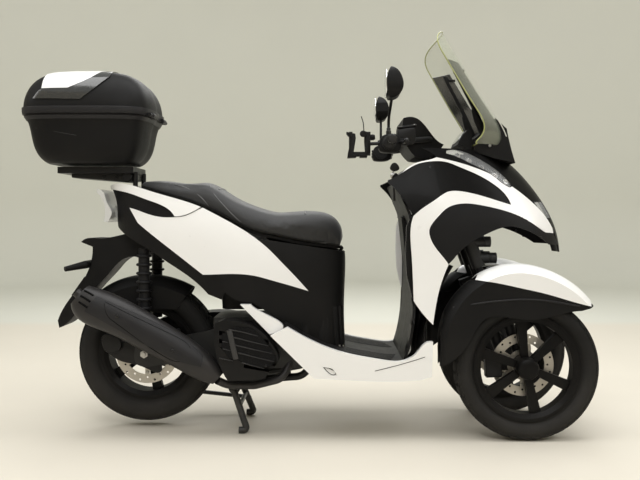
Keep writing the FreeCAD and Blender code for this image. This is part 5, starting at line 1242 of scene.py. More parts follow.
@dataclass
class Seams:
    """Parting lines and slots in painted shade, and creases with a painted highlight, along the panels."""

    marks: tuple[Mark, ...] = (
        # The marks in the seam shadow finish are very dark tubes: painted shade in the gaps between panels
        # and in the outlet slots.
        Mark("guard_seam", "chassis", "seam_shadow", ("muffler_guard", "exhaust"), 0.0011, False, (
            ((104.8, 301.6), (118.0, 308.6), (140.0, 319.4), (165.0, 331.4), (183.0, 340.0), (190.5, 346.5),
             (190.0, 355.0), (184.0, 360.5), (175.1, 362.6), (159.0, 353.6), (142.8, 342.9), (129.0, 332.9),
             (115.0, 322.6), (108.5, 317.9), (104.8, 310.5), (104.4, 303.5)),)),
        Mark("outlet_slot_shade", "chassis", "seam_shadow", ("muffler_guard", "exhaust"), 0.0036, False, (
            ((84.5, 290.6), (88.5, 292.6), (93.5, 295.6)), ((80.8, 295.8), (85.4, 298.4), (90.4, 301.8)),
            ((79.0, 302.0), (83.0, 304.6), (87.4, 307.6)))),
        Mark("box_seam", "chassis", "seam_shadow", ("box_tub", "box_lid"), 0.0011, True, (
            ((36.0, 107.2), (60.0, 108.4), (90.0, 110.6), (120.0, 114.2), (150.0, 120.6)),)),
        # Light line under the tub's rim: a painted highlight on its step.
        Mark("tub_step", "chassis", "edge_highlight", ("box_tub",), 0.0008, True, (
            ((36.0, 128.0), (50.0, 130.4), (62.0, 132.8), (76.0, 135.2)),)),
        Mark("skirt_seam", "chassis", "seam_shadow", ("side_skirts",), 0.0011, True, (
            ((437.0, 352.0), (425.0, 357.0), (405.0, 364.0), (375.0, 371.0)),
            ((323.6, 367.2), (333.0, 368.8), (337.0, 374.9), (329.6, 374.9), (323.6, 367.2)))),
    )
    crease: Line = ((452.9, 307.6), (470.0, 304.6), (490.0, 301.8), (510.0, 300.0), (525.4, 299.2),
                    (545.0, 300.4), (565.0, 303.4), (580.0, 306.2))
    crease_radius: float = 0.0030

    def build(self, scooter: Scooter) -> None:
        """Lays each line, on both sides where the panel is on both.

        Args:
            scooter: The scooter.
        """
        for mark in self.marks:
            parts = []
            for line in mark.lines:
                for spots in self._laid(scooter, line, mark.nodes)[:1 + mark.both]:
                    parts.append(Bench.tube(mark.name, spots, mark.radius))
            scooter.gather(mark.name, parts, mark.body, mark.finish)
        for spots, (_, word) in zip(self._laid(scooter, self.crease, ("fender_right",)), SIDES):
            # The crease is a raised ridge in a lighter finish: real shape with a painted highlight.
            crease = Bench.tube("fender_crease_" + word, spots, self.crease_radius)
            scooter.place(crease, "fork_" + word, "guard_plastic_and_highlight")

    @staticmethod
    def _laid(scooter: Scooter, line: Line, nodes: tuple[str, ...]) -> list[list[Vector]]:
        """Spots of a line where it meets the nodes.

        Args:
            scooter: The scooter.
            line: Places in the view.
            nodes: CAD nodes that the line lies on.

        Returns:
            The line on the right and on the left side, or nothing where it is too short.
        """
        right = [spot for spot, _ in scooter.sights(line, *nodes)]
        return [right, [flipped(spot) for spot in right]] if len(right) > 2 else []


@dataclass
class CaseTrim:
    """Bolts and ribs of the drive case, and the reflector low at the back."""

    bolts: Line = ((-0.290, 0.325), (-0.400, 0.345), (-0.520, 0.345), (-0.620, 0.320), (-0.630, 0.250),
                   (-0.560, 0.205), (-0.440, 0.200), (-0.320, 0.220))
    bolt: float = 0.0062
    rings: tuple = ((-0.350, 0.275, 0.050), (-0.350, 0.275, 0.034), (-0.560, 0.277, 0.060))
    ring_radius: float = 0.0028
    rib_x: tuple[float, ...] = (-0.485, -0.465, -0.445, -0.425)
    rib_z: tuple[float, ...] = (0.250, 0.263, 0.276, 0.289, 0.302)
    rib_radius: float = 0.0026
    reflector_z: float = 0.520
    reflector: Line = ((-0.030, -0.012), (-0.034, 0.0), (-0.030, 0.012), (0.030, 0.012), (0.034, 0.0),
                       (0.030, -0.012))

    def build(self, scooter: Scooter) -> None:
        """Makes the trim of the left side and the back.

        Args:
            scooter: The scooter.
        """
        scooter.stud("case_bolts", self.bolt, self._left(scooter, self.bolts), "chassis", "bolt_steel")
        ribs = []
        for x, z, reach in self.rings:
            turns = [math.tau * index / 24 for index in range(25)]
            round_it = [(x + reach * math.cos(turn), z + reach * math.sin(turn)) for turn in turns]
            ring = self._left(scooter, round_it)
            if len(ring) > 12:
                ribs.append(Bench.tube("ring", [spot for spot, _ in ring], self.ring_radius))
        for level in self.rib_z:
            rib = self._left(scooter, [(x, level) for x in self.rib_x])
            if len(rib) > 2:
                ribs.append(Bench.tube("rib", [spot for spot, _ in rib], self.rib_radius))
        # The rings and ribs take a lighter finish, a painted highlight on their crests.
        scooter.gather("case_ribs", ribs, "chassis", "edge_highlight")
        hit = scooter.cast(Vector((BEHIND_X, 0.0, self.reflector_z)), AHEAD, "rear_fender")
        scooter.badge("reflector", self.reflector, 0.005, 0.0012, hit, 0.001, "lamp_red")

    @staticmethod
    def _left(scooter: Scooter, places: Line | list) -> list[Hit]:
        """Spots of the drive case seen from the left."""
        hits = [scooter.cast(Vector((x, FAR_LEFT_Y, z)), RIGHT, "transmission_case") for x, z in places]
        return [hit for hit in hits if hit]


@dataclass
class MirrorGlass:
    """Glass in the back of each mirror head."""

    y: float = 0.305
    half_width: float = 0.066
    outline: Line = ((1.495, -0.55), (1.490, 0.45), (1.520, 0.92), (1.565, 1.00), (1.612, 0.88),
                     (1.628, 0.30), (1.622, -0.45), (1.590, -0.96), (1.535, -0.98))
    middle: float = 1.559
    shrink: float = 0.84
    proud: float = 0.0014

    def build(self, scooter: Scooter) -> None:
        """Makes both glasses.

        Args:
            scooter: The scooter.
        """
        for side, word in SIDES:
            back = scooter.cast(Vector((0.0, side * self.y, z_at(self.middle))), AHEAD, "mirrors")[0]
            outline = [Vector((back.x - self.proud, side * (self.y + share * self.shrink * self.half_width),
                               z_at(self.middle + (level - self.middle) * self.shrink)))
                       for level, share in rounded(self.outline)]
            piece = Bench.plate("mirror_glass_" + word, outline, Vector((2 * self.proud, 0, 0)), 0.0005)
            scooter.place(piece, "handlebar", "mirror_glass")


@dataclass
class Fasteners:
    """Domed hex-socket bolts, nuts and rivets."""

    profile: Line = ((-0.3, 0.92), (0.0, 1.0), (0.45, 1.0), (0.68, 0.82), (0.70, 0.55), (0.35, 0.50))
    right_only: tuple[str, ...] = ("muffler_guard", "exhaust", "radiator_cover")
    sets: tuple = (
        ("guard_bolts", "chassis", "black_bolt", ("muffler_guard",), 0.0058,
         ((116.9, 316.5), (172.4, 350.8))),
        ("hanger_bolts", "chassis", "bolt_steel", ("exhaust", "engine", "rear_caliper"), 0.0062,
         ((174.7, 324.4), (125.6, 347.5), (126.6, 361.9), (159.9, 368.3))),
        ("cover_bolts", "chassis", "black_bolt", ("radiator_cover",), 0.0045,
         ((222.0, 371.0), (266.0, 366.0), (271.5, 348.0), (217.0, 322.0))),
        ("screen_bolts", "chassis", "bolt_steel", ("windscreen", "screen_base"), 0.0050, ((489.8, 145.8),)),
        ("arch_rivets", "chassis", "black_bolt", ("arch_panels", "nose_cover"), 0.0045,
         ((516.0, 230.5), (541.0, 237.5))),
        ("cowl_rivets", "chassis", "black_bolt", ("cowl_infill",), 0.0040, ((430.0, 167.0), (441.4, 160.2))),
    )

    def head(self, radius: float, sides: int = 20) -> bpy.types.Object:
        """One bolt head with a socket, standing on the origin."""
        rings = tuple((rise * radius, reach * radius) for rise, reach in self.profile)
        return Bench.turned("head", rings, sides)

    def build(self, scooter: Scooter) -> None:
        """Sets every bolt that the view shows, on both sides where the shape is the same.

        Args:
            scooter: The scooter.
        """
        for name, body, finish, nodes, radius, places in self.sets:
            spots = scooter.sights(places, *nodes)
            if nodes[0] not in self.right_only:
                spots = [spot for hit in spots for spot in both(hit)]
            scooter.stud(name, radius, spots, body, finish)


@dataclass
class WheelTrim:
    """Hub domes, disc rivets, valves, the rear axle's nut and the arm of the rear brake."""

    dome: Line = ((-0.004, 0.0385), (0.010, 0.038), (0.019, 0.034), (0.0235, 0.026), (0.0245, 0.012))
    nut: Line = ((-0.002, 0.0145), (0.012, 0.0145), (0.0125, 0.009), (0.020, 0.009), (0.021, 0.0075))
    valve: Line = ((0.0, 0.0042), (0.014, 0.0036), (0.015, 0.0028), (0.024, 0.0028), (0.025, 0.0022))
    front_rivets: float = 0.070
    rear_rivets: float = 0.074
    rivet: float = 0.0055
    nut_y: float = -0.074
    valve_turn: float = 2.2
    valve_lean: float = 0.35
    arm: Line = ((102.5, 338.0), (107.0, 334.5), (114.0, 338.5), (126.0, 341.5), (139.0, 345.0),
                 (152.0, 352.0), (160.5, 361.5), (162.5, 369.5), (158.0, 372.5), (150.0, 369.5),
                 (138.0, 364.5), (122.0, 361.0), (109.5, 353.5), (103.5, 345.5))
    calliper: Line = ((104.0, 336.0), (112.0, 333.0), (122.0, 338.0), (123.0, 347.0), (116.0, 352.0),
                      (107.0, 349.0))
    boss: tuple[float, float] = (146.6, 352.3)

    def build(self, scooter: Scooter) -> None:
        """Makes the trim of the three wheels.

        Args:
            scooter: The scooter.
        """
        for side, word in SIDES:
            hub = Vector((FRONT_AXLE_X, side * WHEEL_Y, FRONT_AXLE_Z))
            out = Vector((0, side, 0))
            wheel = "wheel_" + word
            hit = scooter.cast(hub + out * 0.4 + Vector((0.022, 0, 0)), -out, f"front_rim_{word}")
            if hit:
                foot = Vector((hub.x, hit[0].y, hub.z))
                scooter.boss("hub_dome_" + word, self.dome, (foot, out), wheel, "rim_black", 48)
            disc = "front_disc_" + word
            self._ring(scooter, "disc_rivets_" + word, hub, out, self.front_rivets, disc, wheel)
            self._valve(scooter, word, hub, FRONT_TYRE_R * 0.66, side, wheel)
        self._ring(scooter, "disc_rivets_rear", REAR_AXLE, RIGHT, self.rear_rivets, "rear_disc", "rear_wheel")
        self._valve(scooter, "rear", REAR_AXLE, REAR_TYRE_R * 0.60, 1, "rear_wheel")
        self._bracket(scooter)
        hit = scooter.cast(REAR_AXLE + RIGHT * 0.6, LEFT, "rear_caliper", "rear_rim", "engine")
        if hit:
            foot = Vector((hit[0].x, min(hit[0].y, self.nut_y), hit[0].z))
            scooter.boss("axle_nut", self.nut, (foot, RIGHT), "chassis", "bolt_steel", 6)

    def _bracket(self, scooter: Scooter) -> None:
        """Cast arm over the rear disc, from the axle to the brake's carrier.

        Args:
            scooter: The scooter.
        """
        arm = Bench.cutout("arm", rounded(self.arm, 4), -0.056, -0.010, bevel=0.003)
        calliper = Bench.cutout("calliper", rounded(self.calliper, 4), -0.050, -0.034, bevel=0.004)
        hub = Bench.rod("boss", seen(*self.boss, -0.040), seen(*self.boss, -0.074), 0.024, 36, 0.003)
        scooter.gather("brake_arm", [arm, calliper, hub], "chassis", "frame_black")

    def _ring(self, scooter: Scooter, name: str, hub: Vector, out: Vector, reach: float, node: str,
              body: str) -> None:
        """Rivets in a ring on a disc.

        Args:
            scooter: The scooter.
            name: Name of the piece.
            hub: Middle of the wheel.
            out: Outward direction.
            reach: Distance from the middle of the wheel.
            node: CAD node of the disc.
            body: CAD body that it rides on.
        """
        spots = []
        for index in range(6):
            angle = math.tau * (index + 0.5) / 6
            start = hub + out * 0.4 + Vector((reach * math.cos(angle), 0, reach * math.sin(angle)))
            hit = scooter.cast(start, -out, node)
            if hit:
                spots.append((hit[0], out))
        scooter.stud(name, self.rivet, spots, body, "bolt_steel")

    def _valve(self, scooter: Scooter, word: str, hub: Vector, reach: float, side: int, body: str) -> None:
        """Valve stem in the well of a rim.

        Args:
            scooter: The scooter.
            word: Last word of its name.
            hub: Middle of the wheel.
            reach: Distance from the middle of the wheel.
            side: -1 for the right, 1 for the left.
            body: CAD body that it rides on.
        """
        out = Vector((math.cos(self.valve_turn), 0, math.sin(self.valve_turn)))
        lean = (-out + Vector((0, self.valve_lean * side, 0))).normalized()
        scooter.boss("valve_stem_" + word, self.valve, (hub + out * reach, lean), body, "grip_rubber", 12)


@dataclass
class Cockpit:
    """Switch cases, fluid pots, bar ends, collars, phone jaws and the main switch."""

    grip_x: float = x_at(0.647)
    grip_z: float = z_at(1.317)
    bar_end: Line = ((-0.002, 0.0125), (0.002, 0.0150), (0.016, 0.0150), (0.020, 0.0120), (0.0205, 0.0050))
    collar: Line = ((-0.006, 0.0100), (0.010, 0.0100), (0.012, 0.0080), (0.020, 0.0080), (0.022, 0.0062))
    case: Line = ((0.268, 1.004), (0.272, 1.042), (0.290, 1.056), (0.322, 1.058), (0.340, 1.044),
                  (0.342, 1.010), (0.326, 0.996), (0.286, 0.994))
    pot: Line = ((0.332, 1.030), (0.334, 1.070), (0.342, 1.078), (0.388, 1.084), (0.396, 1.076),
                 (0.396, 1.034), (0.380, 1.026), (0.346, 1.022))
    holder_outer: Line = ((346.4, 131.7), (355.3, 133.6), (355.9, 138.1), (354.3, 148.5), (353.3, 154.7),
                          (356.3, 155.2), (356.3, 157.4), (347.4, 157.9), (347.9, 152.9), (351.1, 138.5),
                          (346.4, 133.6))
    holder_inner: Line = ((364.6, 131.0), (368.6, 132.0), (370.6, 152.0), (368.0, 152.4), (367.1, 157.4),
                          (359.7, 157.4), (359.9, 154.6), (365.4, 154.0), (364.4, 141.0))
    button: Line = ((-0.003, 0.0052), (0.003, 0.0052), (0.004, 0.0040))
    knob: Line = ((0.0, 0.0105), (0.010, 0.0115), (0.012, 0.0105), (0.0125, 0.0050))
    neck: Line = ((0.0, 0.0085), (0.006, 0.0105), (0.013, 0.0105), (0.019, 0.0080))
    latch: Line = ((363.9, 132.5), (363.7, 125.5), (362.9, 121.0), (361.2, 116.3))
    key: Line = ((390.0, 168.5), (392.0, 163.6), (395.6, 162.8), (398.8, 166.0), (399.0, 169.6),
                 (394.0, 171.4))
    strap: Line = ((392.6, 178.5), (394.4, 178.4), (395.6, 200.7), (393.4, 201.0))
    lid: tuple = ((0.334, 0.146, 1.080), (0.334, 0.188, 1.080), (0.400, 0.188, 1.089), (0.400, 0.146, 1.089))
    screws: Line = ((0.341, 0.153), (0.393, 0.181))
    end_y: float = 0.346
    collar_y: float = 0.202
    collar_rise: float = 0.032
    case_y: float = 0.180
    pot_y: float = 0.150
    holder_y: float = -0.222
    holder_middle_y: float = -0.205
    lock_y: float = -0.100

    def build(self, scooter: Scooter) -> None:
        """Makes the pieces of both sides and the holder on the right.

        Args:
            scooter: The scooter.
        """
        for side, word in SIDES:
            end = (Vector((self.grip_x, side * self.end_y, self.grip_z)), Vector((0, side, 0)))
            scooter.boss("bar_end_" + word, self.bar_end, end, "handlebar", "black_bolt")
            foot = Vector((self.grip_x, side * self.collar_y, self.grip_z + self.collar_rise))
            scooter.boss("mirror_collar_" + word, self.collar, (foot, UP), "handlebar", "black_bolt", 6)
            self._cases(scooter, side, word)
        self._holder(scooter)
        self._lock(scooter)

    def _cases(self, scooter: Scooter, side: int, word: str) -> None:
        """Switch case with its buttons, and the brake fluid pot.

        Args:
            scooter: The scooter.
            side: -1 for the right, 1 for the left.
            word: Name of the side.
        """
        case = [Bench.upright("case", rounded(self.case, 4), side * self.case_y, side * 0.045, bevel=0.003)]
        for index, rise in enumerate((0.010, 0.0, -0.010)):
            spot = Vector((0.2685, side * (0.192 + 0.009 * index), self.grip_z - 0.004 + rise))
            case.append(Bench.put(Bench.turned("button", self.button, 16), spot, BACK))
        scooter.gather("switch_case_" + word, case, "handlebar", "black_plastic")
        pot = Bench.upright("pot", rounded(self.pot, 4), side * self.pot_y, side * 0.034, bevel=0.003)
        lid = Bench.plate("lid", [Vector((x, side * y, z)) for x, y, z in self.lid], UP * 0.006, bevel=0.0015)
        scooter.gather("brake_pot_" + word, [pot, lid], "handlebar", "frame_black")
        screws = [(Vector((x, side * y, 1.0865 + (x - 0.34) * 0.136)), UP) for x, y in self.screws]
        scooter.stud("pot_screws_" + word, 0.0028, screws, "handlebar", "bolt_steel", 12)

    def _holder(self, scooter: Scooter) -> None:
        """Sprung jaws, knob and latch of the phone holder.

        Args:
            scooter: The scooter.
        """
        near, mid = self.holder_y, self.holder_middle_y
        jaws = [Bench.cutout("jaw", line, near, 0.034, bevel=0.0012)
                for line in (self.holder_outer, self.holder_inner)]
        jaws.append(Bench.rod("link", seen(355.6, 156.2, mid), seen(360.4, 156.0, mid), 0.0022, 16))
        jaws.append(Bench.put(Bench.turned("knob", self.knob, 24), seen(363.0, 134.1, near), RIGHT))
        jaws.append(Bench.tube("latch", [seen(px, py, mid) for px, py in self.latch], 0.0016))
        neck = Bench.turned("neck", self.neck, 24)
        jaws.append(Bench.put(neck, seen(369.5, 137.6, mid), Vector((1, 0, 0.1))))
        scooter.gather("phone_jaws", jaws, "handlebar", "black_plastic")

    def _lock(self, scooter: Scooter) -> None:
        """Main switch with its key and strap.

        Args:
            scooter: The scooter.
        """
        y = self.lock_y
        barrel = Bench.rod("main_switch", Vector((0.352, y, 0.898)), seen(393.4, 175.0, y), 0.0125, 32, 0.002)
        scooter.place(barrel, "chassis", "black_plastic")
        ring = Bench.rod("switch_ring", seen(394.6, 175.4, y), seen(390.6, 175.9, y), 0.0100, 32, 0.001)
        blade = Bench.rod("blade", seen(392.0, 175.5, y), seen(393.6, 169.5, y), 0.0028, 12)
        scooter.gather("switch_ring", [ring, blade], "chassis", "bolt_steel")
        head = Bench.cutout("key", rounded(self.key, 4), y - 0.004, 0.008, bevel=0.0015)
        strap = Bench.cutout("strap", self.strap, y - 0.0015, 0.003, bevel=0.0006)
        scooter.gather("key_and_strap", [head, strap], "chassis", "grip_rubber")


@dataclass
class Screen:
    """Clear screen with its tinted edge, smoked wings and stays.

    Args:
        foot: Height of its lower edge.
        waist: Height where it is widest.
        shoulder: Height where the top starts to round.
        top: Height of its top.
        narrow: Half width at the foot.
        wide: Half width at the waist.
        head: Half width at the shoulder.
        sweep: How far its edges lie behind its middle.
        wrap: How much more they do at the foot.
        sheet: Thickness.
        trim: Radius of the edge.
        rows: Rows of faces.
        columns: Columns of faces.
        wing_span: Where a wing starts and ends, as shares of the half width.
        wing_heights: Heights where it starts and ends.
        wing_sheet: Its thickness.
        wing_gap: How far in front of the screen it lies.
        stay_y: Where the right stay's face lies.
        stay_depth: Depth of a stay.
        stud: Place of the stay's stud in the view.
        middle: Height of the screen's middle line, and its place along the scooter.
        stay: Outline of a stay in the view.
    """

    foot: float = 1.030
    waist: float = 1.130
    shoulder: float = 1.330
    top: float = 1.4500
    narrow: float = 0.165
    wide: float = 0.198
    head: float = 0.184
    sweep: float = 2.484
    wrap: float = 2.70
    sheet: float = 0.004
    trim: float = 0.0023
    rows: int = 40
    columns: int = 24
    wing_span: tuple[float, float] = (0.56, 0.965)
    wing_heights: tuple[float, float] = (1.075, 1.325)
    wing_sheet: float = 0.0025
    wing_gap: float = 0.0052
    stay_y: float = -0.106
    stay_depth: float = 0.012
    stud: tuple[float, float] = (455.5, 70.5)
    middle: Line = ((1.4524, 0.5161), (1.3790, 0.5607), (1.2948, 0.6120), (1.1918, 0.6768),
                    (1.1263, 0.7213), (1.0530, 0.7564), (0.9844, 0.7690))
    stay: Line = ((451.3, 65.5), (455.8, 66.5), (458.0, 70.0), (457.5, 72.5), (476.0, 107.0),
                  (487.5, 131.5), (488.5, 137.0), (481.5, 137.0), (474.5, 122.0), (471.5, 110.0),
                  (472.3, 108.5), (466.0, 96.0), (454.0, 72.5))

    def build(self, scooter: Scooter) -> None:
        """Makes the screen, its edge, the wings and the stays.

        Args:
            scooter: The scooter.
        """
        pane = self._pane("clear_screen", -1.0, 1.0, self.foot, self.top, self.sheet, 0.0)
        scooter.place(pane, "chassis", "screen_clear")
        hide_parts("windscreen")
        rim = []
        for side in (1, -1):
            for index in range(49):
                level = self._level(index if side > 0 else 48 - index, 48)
                rim.append(self._spot(side, level, -self.sheet / 2))
        scooter.place(Bench.tube("screen_trim", rim + rim[:1], self.trim), "chassis", "screen_edge")
        wings, bars = [], []
        for side, _ in SIDES:
            inner, outer = sorted(side * share for share in self.wing_span)
            wings.append(self._pane("wing", inner, outer, *self.wing_heights, self.wing_sheet, self.wing_gap))
            bar = Bench.cutout("bar", self.stay, self.stay_y, self.stay_depth, bevel=0.0015)
            near = seen(*self.stud, self.stay_y)
            far = self._spot(self.stay_y / self._half(near.z), near.z, 0.0)
            middle = self.stay_y + self.stay_depth / 2
            ends = (Vector((x, middle, near.z)) for x in (near.x, far.x))
            stud = Bench.rod("stud", *ends, 0.0046, 20, 0.0008)
            for piece in (bar, stud):
                bars.append(Bench.mirror(piece) if side > 0 else piece)
        scooter.gather("screen_wings", wings, "chassis", "smoked_sheet")
        stays = scooter.place(Bench.join("stay_bars", bars), "chassis", "black_plastic")
        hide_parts("screen_stays")

    def _level(self, index: int, count: int) -> float:
        """Height of a row, closer together at both ends."""
        share = (1 - math.cos(math.pi * index / count)) / 2
        return self.foot + (self.top - self.foot) * share

    def _half(self, level: float) -> float:
        """Half width at some height.

        Args:
            level: Height.

        Returns:
            Half the width.
        """
        if level > self.shoulder:
            share = (level - self.shoulder) / (self.top - self.shoulder)
            return self.head * math.sqrt(max(0.0, 1 - share ** 3)) + 0.004
        if level < self.waist:
            share = (self.waist - level) / (self.waist - self.foot)
            return self.narrow + (self.wide - self.narrow) * math.sqrt(max(0.0, 1 - share ** 2))
        share = (level - self.waist) / (self.shoulder - self.waist)
        return self.wide + (self.head + 0.004 - self.wide) * share

    def _spot(self, across: float, level: float, back: float) -> Vector:
        """Point of the sheet.

        Args:
            across: Share of the half width, negative to the right.
            level: Height.
            back: How far in front of the sheet's outer face it lies.

        Returns:
            The point.
        """
        y = across * self._half(level)
        x = self.middle[0][1]
        for (high, front), (low, rear) in zip(self.middle, self.middle[1:]):
            if low <= level <= high:
                x = front + (rear - front) * (high - level) / (high - low)
        low = max(0.0, (self.waist - level) / (self.waist - self.foot))
        return Vector((x - (self.sweep + self.wrap * low ** 3) * y * y + back, y, level))

    def _pane(self, name: str, inner: float, outer: float, low: float, high: float, thick: float,
              back: float) -> bpy.types.Object:
        """Curved sheet between two shares of the width and two heights.

        Args:
            name: Name of the piece.
            inner: Share of the half width where it starts.
            outer: Share where it ends.
            low: Height of its lower edge.
            high: Height of its upper edge.
            thick: Thickness.
            back: How far in front of the screen it lies.

        Returns:
            The piece.
        """
        Bench.clear()
        bpy.ops.mesh.primitive_grid_add(x_subdivisions=self.columns, y_subdivisions=self.rows, size=2.0)
        piece = bpy.context.object
        for vertex in piece.data.vertices:
            across = inner + (outer - inner) * (vertex.co.x + 1) / 2
            share = (1 - math.cos(math.pi * (vertex.co.y + 1) / 2)) / 2
            level = low + (high - low) * share
            vertex.co = self._spot(across, level, -back)
        Bench.modify("SOLIDIFY", thickness=thick, offset=-1.0)
        bpy.ops.object.mode_set(mode="EDIT")
        Bench.outward()
        return Bench.finish(name, 50.0)


@dataclass
class Lamps:
    """Bowls in the front lamps, and the glass of the display."""

    bowl: Line = ((-0.0120, 0.0030), (-0.0060, 0.0085), (0.0, 0.0105), (0.0, 0.0097), (-0.0060, 0.0070),
                  (-0.0105, 0.0020))
    front: Line = ((457.5, 155.5), (469.0, 160.5), (481.5, 167.5), (495.0, 175.5), (506.0, 181.5))

    sink: float = 0.0012
    display: Line = ((-0.058, -0.018), (-0.060, 0.014), (-0.040, 0.026), (0.040, 0.026), (0.060, 0.014),
                     (0.058, -0.018))
    rider_eye: tuple[float, float, float] = (0.36, 0.0, 1.26)
    rider_look: tuple[float, float, float] = (0.225, 0, -0.205)

    def build(self, scooter: Scooter) -> None:
        """Sets the bowls into the front lamps and the glass on the panel.

        Args:
            scooter: The scooter.
        """
        hits = scooter.sights(self.front, "front_lamps")
        if hits:
            spots = [place for spot, out in hits for place in both((spot - out * self.sink, out))]
            bowls = Bench.stamp("lamp_bowls", Bench.turned("bowl", self.bowl, 28), spots)
            scooter.place(bowls, "chassis", "lamp_bowl")
        hit = scooter.cast(Vector(self.rider_eye), Vector(self.rider_look).normalized(), "instrument_panel")
        scooter.badge("display", self.display, 0.002, 0.0006, hit, 0.0004, "display_glass")


@dataclass
class InnerShield:
    """Inner shield with its side lips, and the cowl's white returns inside them."""

    set_forward: Line = ((0.352, 0.0), (0.450, 0.003), (0.617, 0.009), (0.796, 0.020), (0.915, 0.023),
                         (0.984, 0.009), (1.060, 0.0), (1.200, 0.0))
    edge: Line = ((0.716, 0.600), (0.7057, 0.636), (0.6933, 0.728), (0.6903, 0.820), (0.692, 0.944),
                  (0.7037, 0.995), (0.716, 1.026), (0.724, 1.026), (0.724, 0.600))

    lip_y: float = 0.206
    return_y: float = 0.203
    sheet_y: float = 0.17
    pocket_y: float = 0.165
    pocket_z: tuple[float, float] = (0.58, 0.82)
    pocket_rise: float = 0.012
    row: float = 0.02

    def build(self, scooter: Scooter) -> None:
        """Makes the shield, its lips and the returns.

        Args:
            scooter: The scooter.
        """
        shield = Bench.copy(scooter.frame["nodes"]["leg_shield"], "inner_shield")
        for vertex in shield.data.vertices:
            level = vertex.co.z / SEAT_HEIGHT
            for (low, a), (high, b) in zip(self.set_forward, self.set_forward[1:]):
                if low <= level < high:
                    vertex.co.x += WHEELBASE * (a + (b - a) * (level - low) / (high - low))
        self._flatten(shield)
        parts = [Bench.finish("inner_shield")]
        returns = []
        edge = [(x_at(x), z_at(z)) for x, z in self.edge]
        for side, _ in SIDES:
            parts.append(Bench.upright("lip", edge, side * self.lip_y, side * 0.003, bevel=0.0008))
            returns.append(Bench.upright("return", edge, side * self.return_y, side * 0.0029, bevel=0.0006))
        piece = scooter.place(Bench.join("inner_shield", parts), "chassis", "black_plastic")
        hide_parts("leg_shield")
        scooter.gather("cowl_returns", returns, "chassis", "white_paint")

    def _flatten(self, shield: bpy.types.Object) -> None:
        """Brings the pocket's lid close to the sheet behind it.

        Args:
            shield: Copy of the CAD node.
        """
        rows: dict[int, float] = {}
        for vertex in shield.data.vertices:
            if abs(vertex.co.y) > self.sheet_y:
                row = round(vertex.co.z / self.row)
                rows[row] = min(rows.get(row, 9.0), vertex.co.x)
        low, high = self.pocket_z
        for vertex in shield.data.vertices:
            face = rows.get(round(vertex.co.z / self.row))
            if face and abs(vertex.co.y) < self.pocket_y and low < vertex.co.z < high:
                vertex.co.x = max(vertex.co.x, face - self.pocket_rise)


@dataclass
class TopBoxTrim:
    """Bands, latch, lock and carrier block of the top box.

    Args:
        bands: Name, CAD node, body, lower edge, upper edge and rise of each band.
        block: Outline of the carrier block in the view.
        half: Half width of the block.
        knob_place: Place of its release knob in the view.
        pins: Columns of its two pins in the view.
        pin_row: Their row.
        knob: Height and radius of the knob's rings.
        lock_z: Height of the latch and its lock.
        latch: Outline of the latch.
        lock: Height and radius of the lock's rings.
    """

    bands: tuple = (("lid_band", "box_lid", "box_lid", 1.1335, 1.1580, 0.0055),
                    ("tub_band", "box_tub", "chassis", 1.1160, 1.1290, 0.0030))
    block: Line = ((77.0, 170.5), (139.0, 170.5), (139.0, 181.0), (128.0, 182.5), (96.0, 180.0),
                   (77.0, 178.5))
    half: float = 0.062
    knob_place: tuple[float, float] = (128.0, 177.0)
    pins: tuple[float, float] = (104.0, 116.0)
    pin_row: float = 177.5
    knob: Line = ((0.0, 0.017), (0.004, 0.019), (0.014, 0.019), (0.018, 0.015), (0.0185, 0.006))
    lock_z: float = 1.092
    latch: Line = ((-0.030, -0.022), (-0.036, 0.0), (-0.030, 0.020), (0.030, 0.020), (0.036, 0.0),
                   (0.030, -0.022))
    lock: Line = ((-0.004, 0.0085), (0.003, 0.0085), (0.004, 0.0070), (0.003, 0.0060))

    def build(self, scooter: Scooter) -> None:
        """Makes the trim at the back and sides of the box.

        Args:
            scooter: The scooter.
        """
        for name, node, body, low, high, rise in self.bands:
            piece = self._band(scooter.frame["nodes"][node], name, low, high, rise)
            # The bands take the lighter finish, a painted highlight along them.
            scooter.place(piece, body, "guard_plastic_and_highlight")
        self._carrier(scooter)
        hit = scooter.cast(Vector((BEHIND_X, 0.0, self.lock_z)), AHEAD, "box_tub")
        scooter.badge("box_latch", self.latch, 0.009, 0.002, hit, 0.003, "gloss_black")
        if hit:
            place = (hit[0] + hit[1] * 0.006, hit[1])
            scooter.boss("box_lock", self.lock, place, "chassis", "bolt_steel", 28)

    @staticmethod
    def _band(node: bpy.types.Object, name: str, low: float, high: float, rise: float) -> bpy.types.Object:
        """Belt round the box, cut from its wall and set outward.

        Args:
            node: CAD node that it is cut from.
            name: Name of the piece.
            low: Height of its lower edge.
            high: Height of its upper edge.
            rise: How far it stands out.

        Returns:
            The belt.
        """
        Bench.copy(node, name)
        bpy.ops.object.mode_set(mode="EDIT")
        for level, up in ((low, False), (high, True)):
            bpy.ops.mesh.select_all(action="SELECT")
            bpy.ops.mesh.bisect(plane_co=(0, 0, level), plane_no=UP, clear_inner=not up, clear_outer=up)
        bpy.ops.mesh.select_all(action="SELECT")
        bpy.ops.transform.shrink_fatten(value=rise)
        bpy.ops.object.mode_set(mode="OBJECT")
        Bench.modify("SOLIDIFY", thickness=rise + 0.0006, offset=-1.0)
        Bench.soften(0.0008)
        return Bench.finish(name)

    def _carrier(self, scooter: Scooter) -> None:
        """Block between the rack and the tail, with its release knob.

        Args:
            scooter: The scooter.
        """
        outline = [seen(px, py, 0.0) + RIGHT * self.half for px, py in self.block]
        block = Bench.plate("block", outline, LEFT * 2 * self.half, bevel=0.003)
        spot = seen(*self.knob_place, -self.half) + LEFT * 0.002
        parts = [block, Bench.put(Bench.turned("knob", self.knob), spot, RIGHT)]
        for px in self.pins:
            foot = seen(px, self.pin_row, -self.half)
            parts.append(Bench.rod("pin", foot, foot + RIGHT * 0.006, 0.006, 24, 0.001))
        scooter.gather("carrier_block", parts, "chassis", "frame_black")


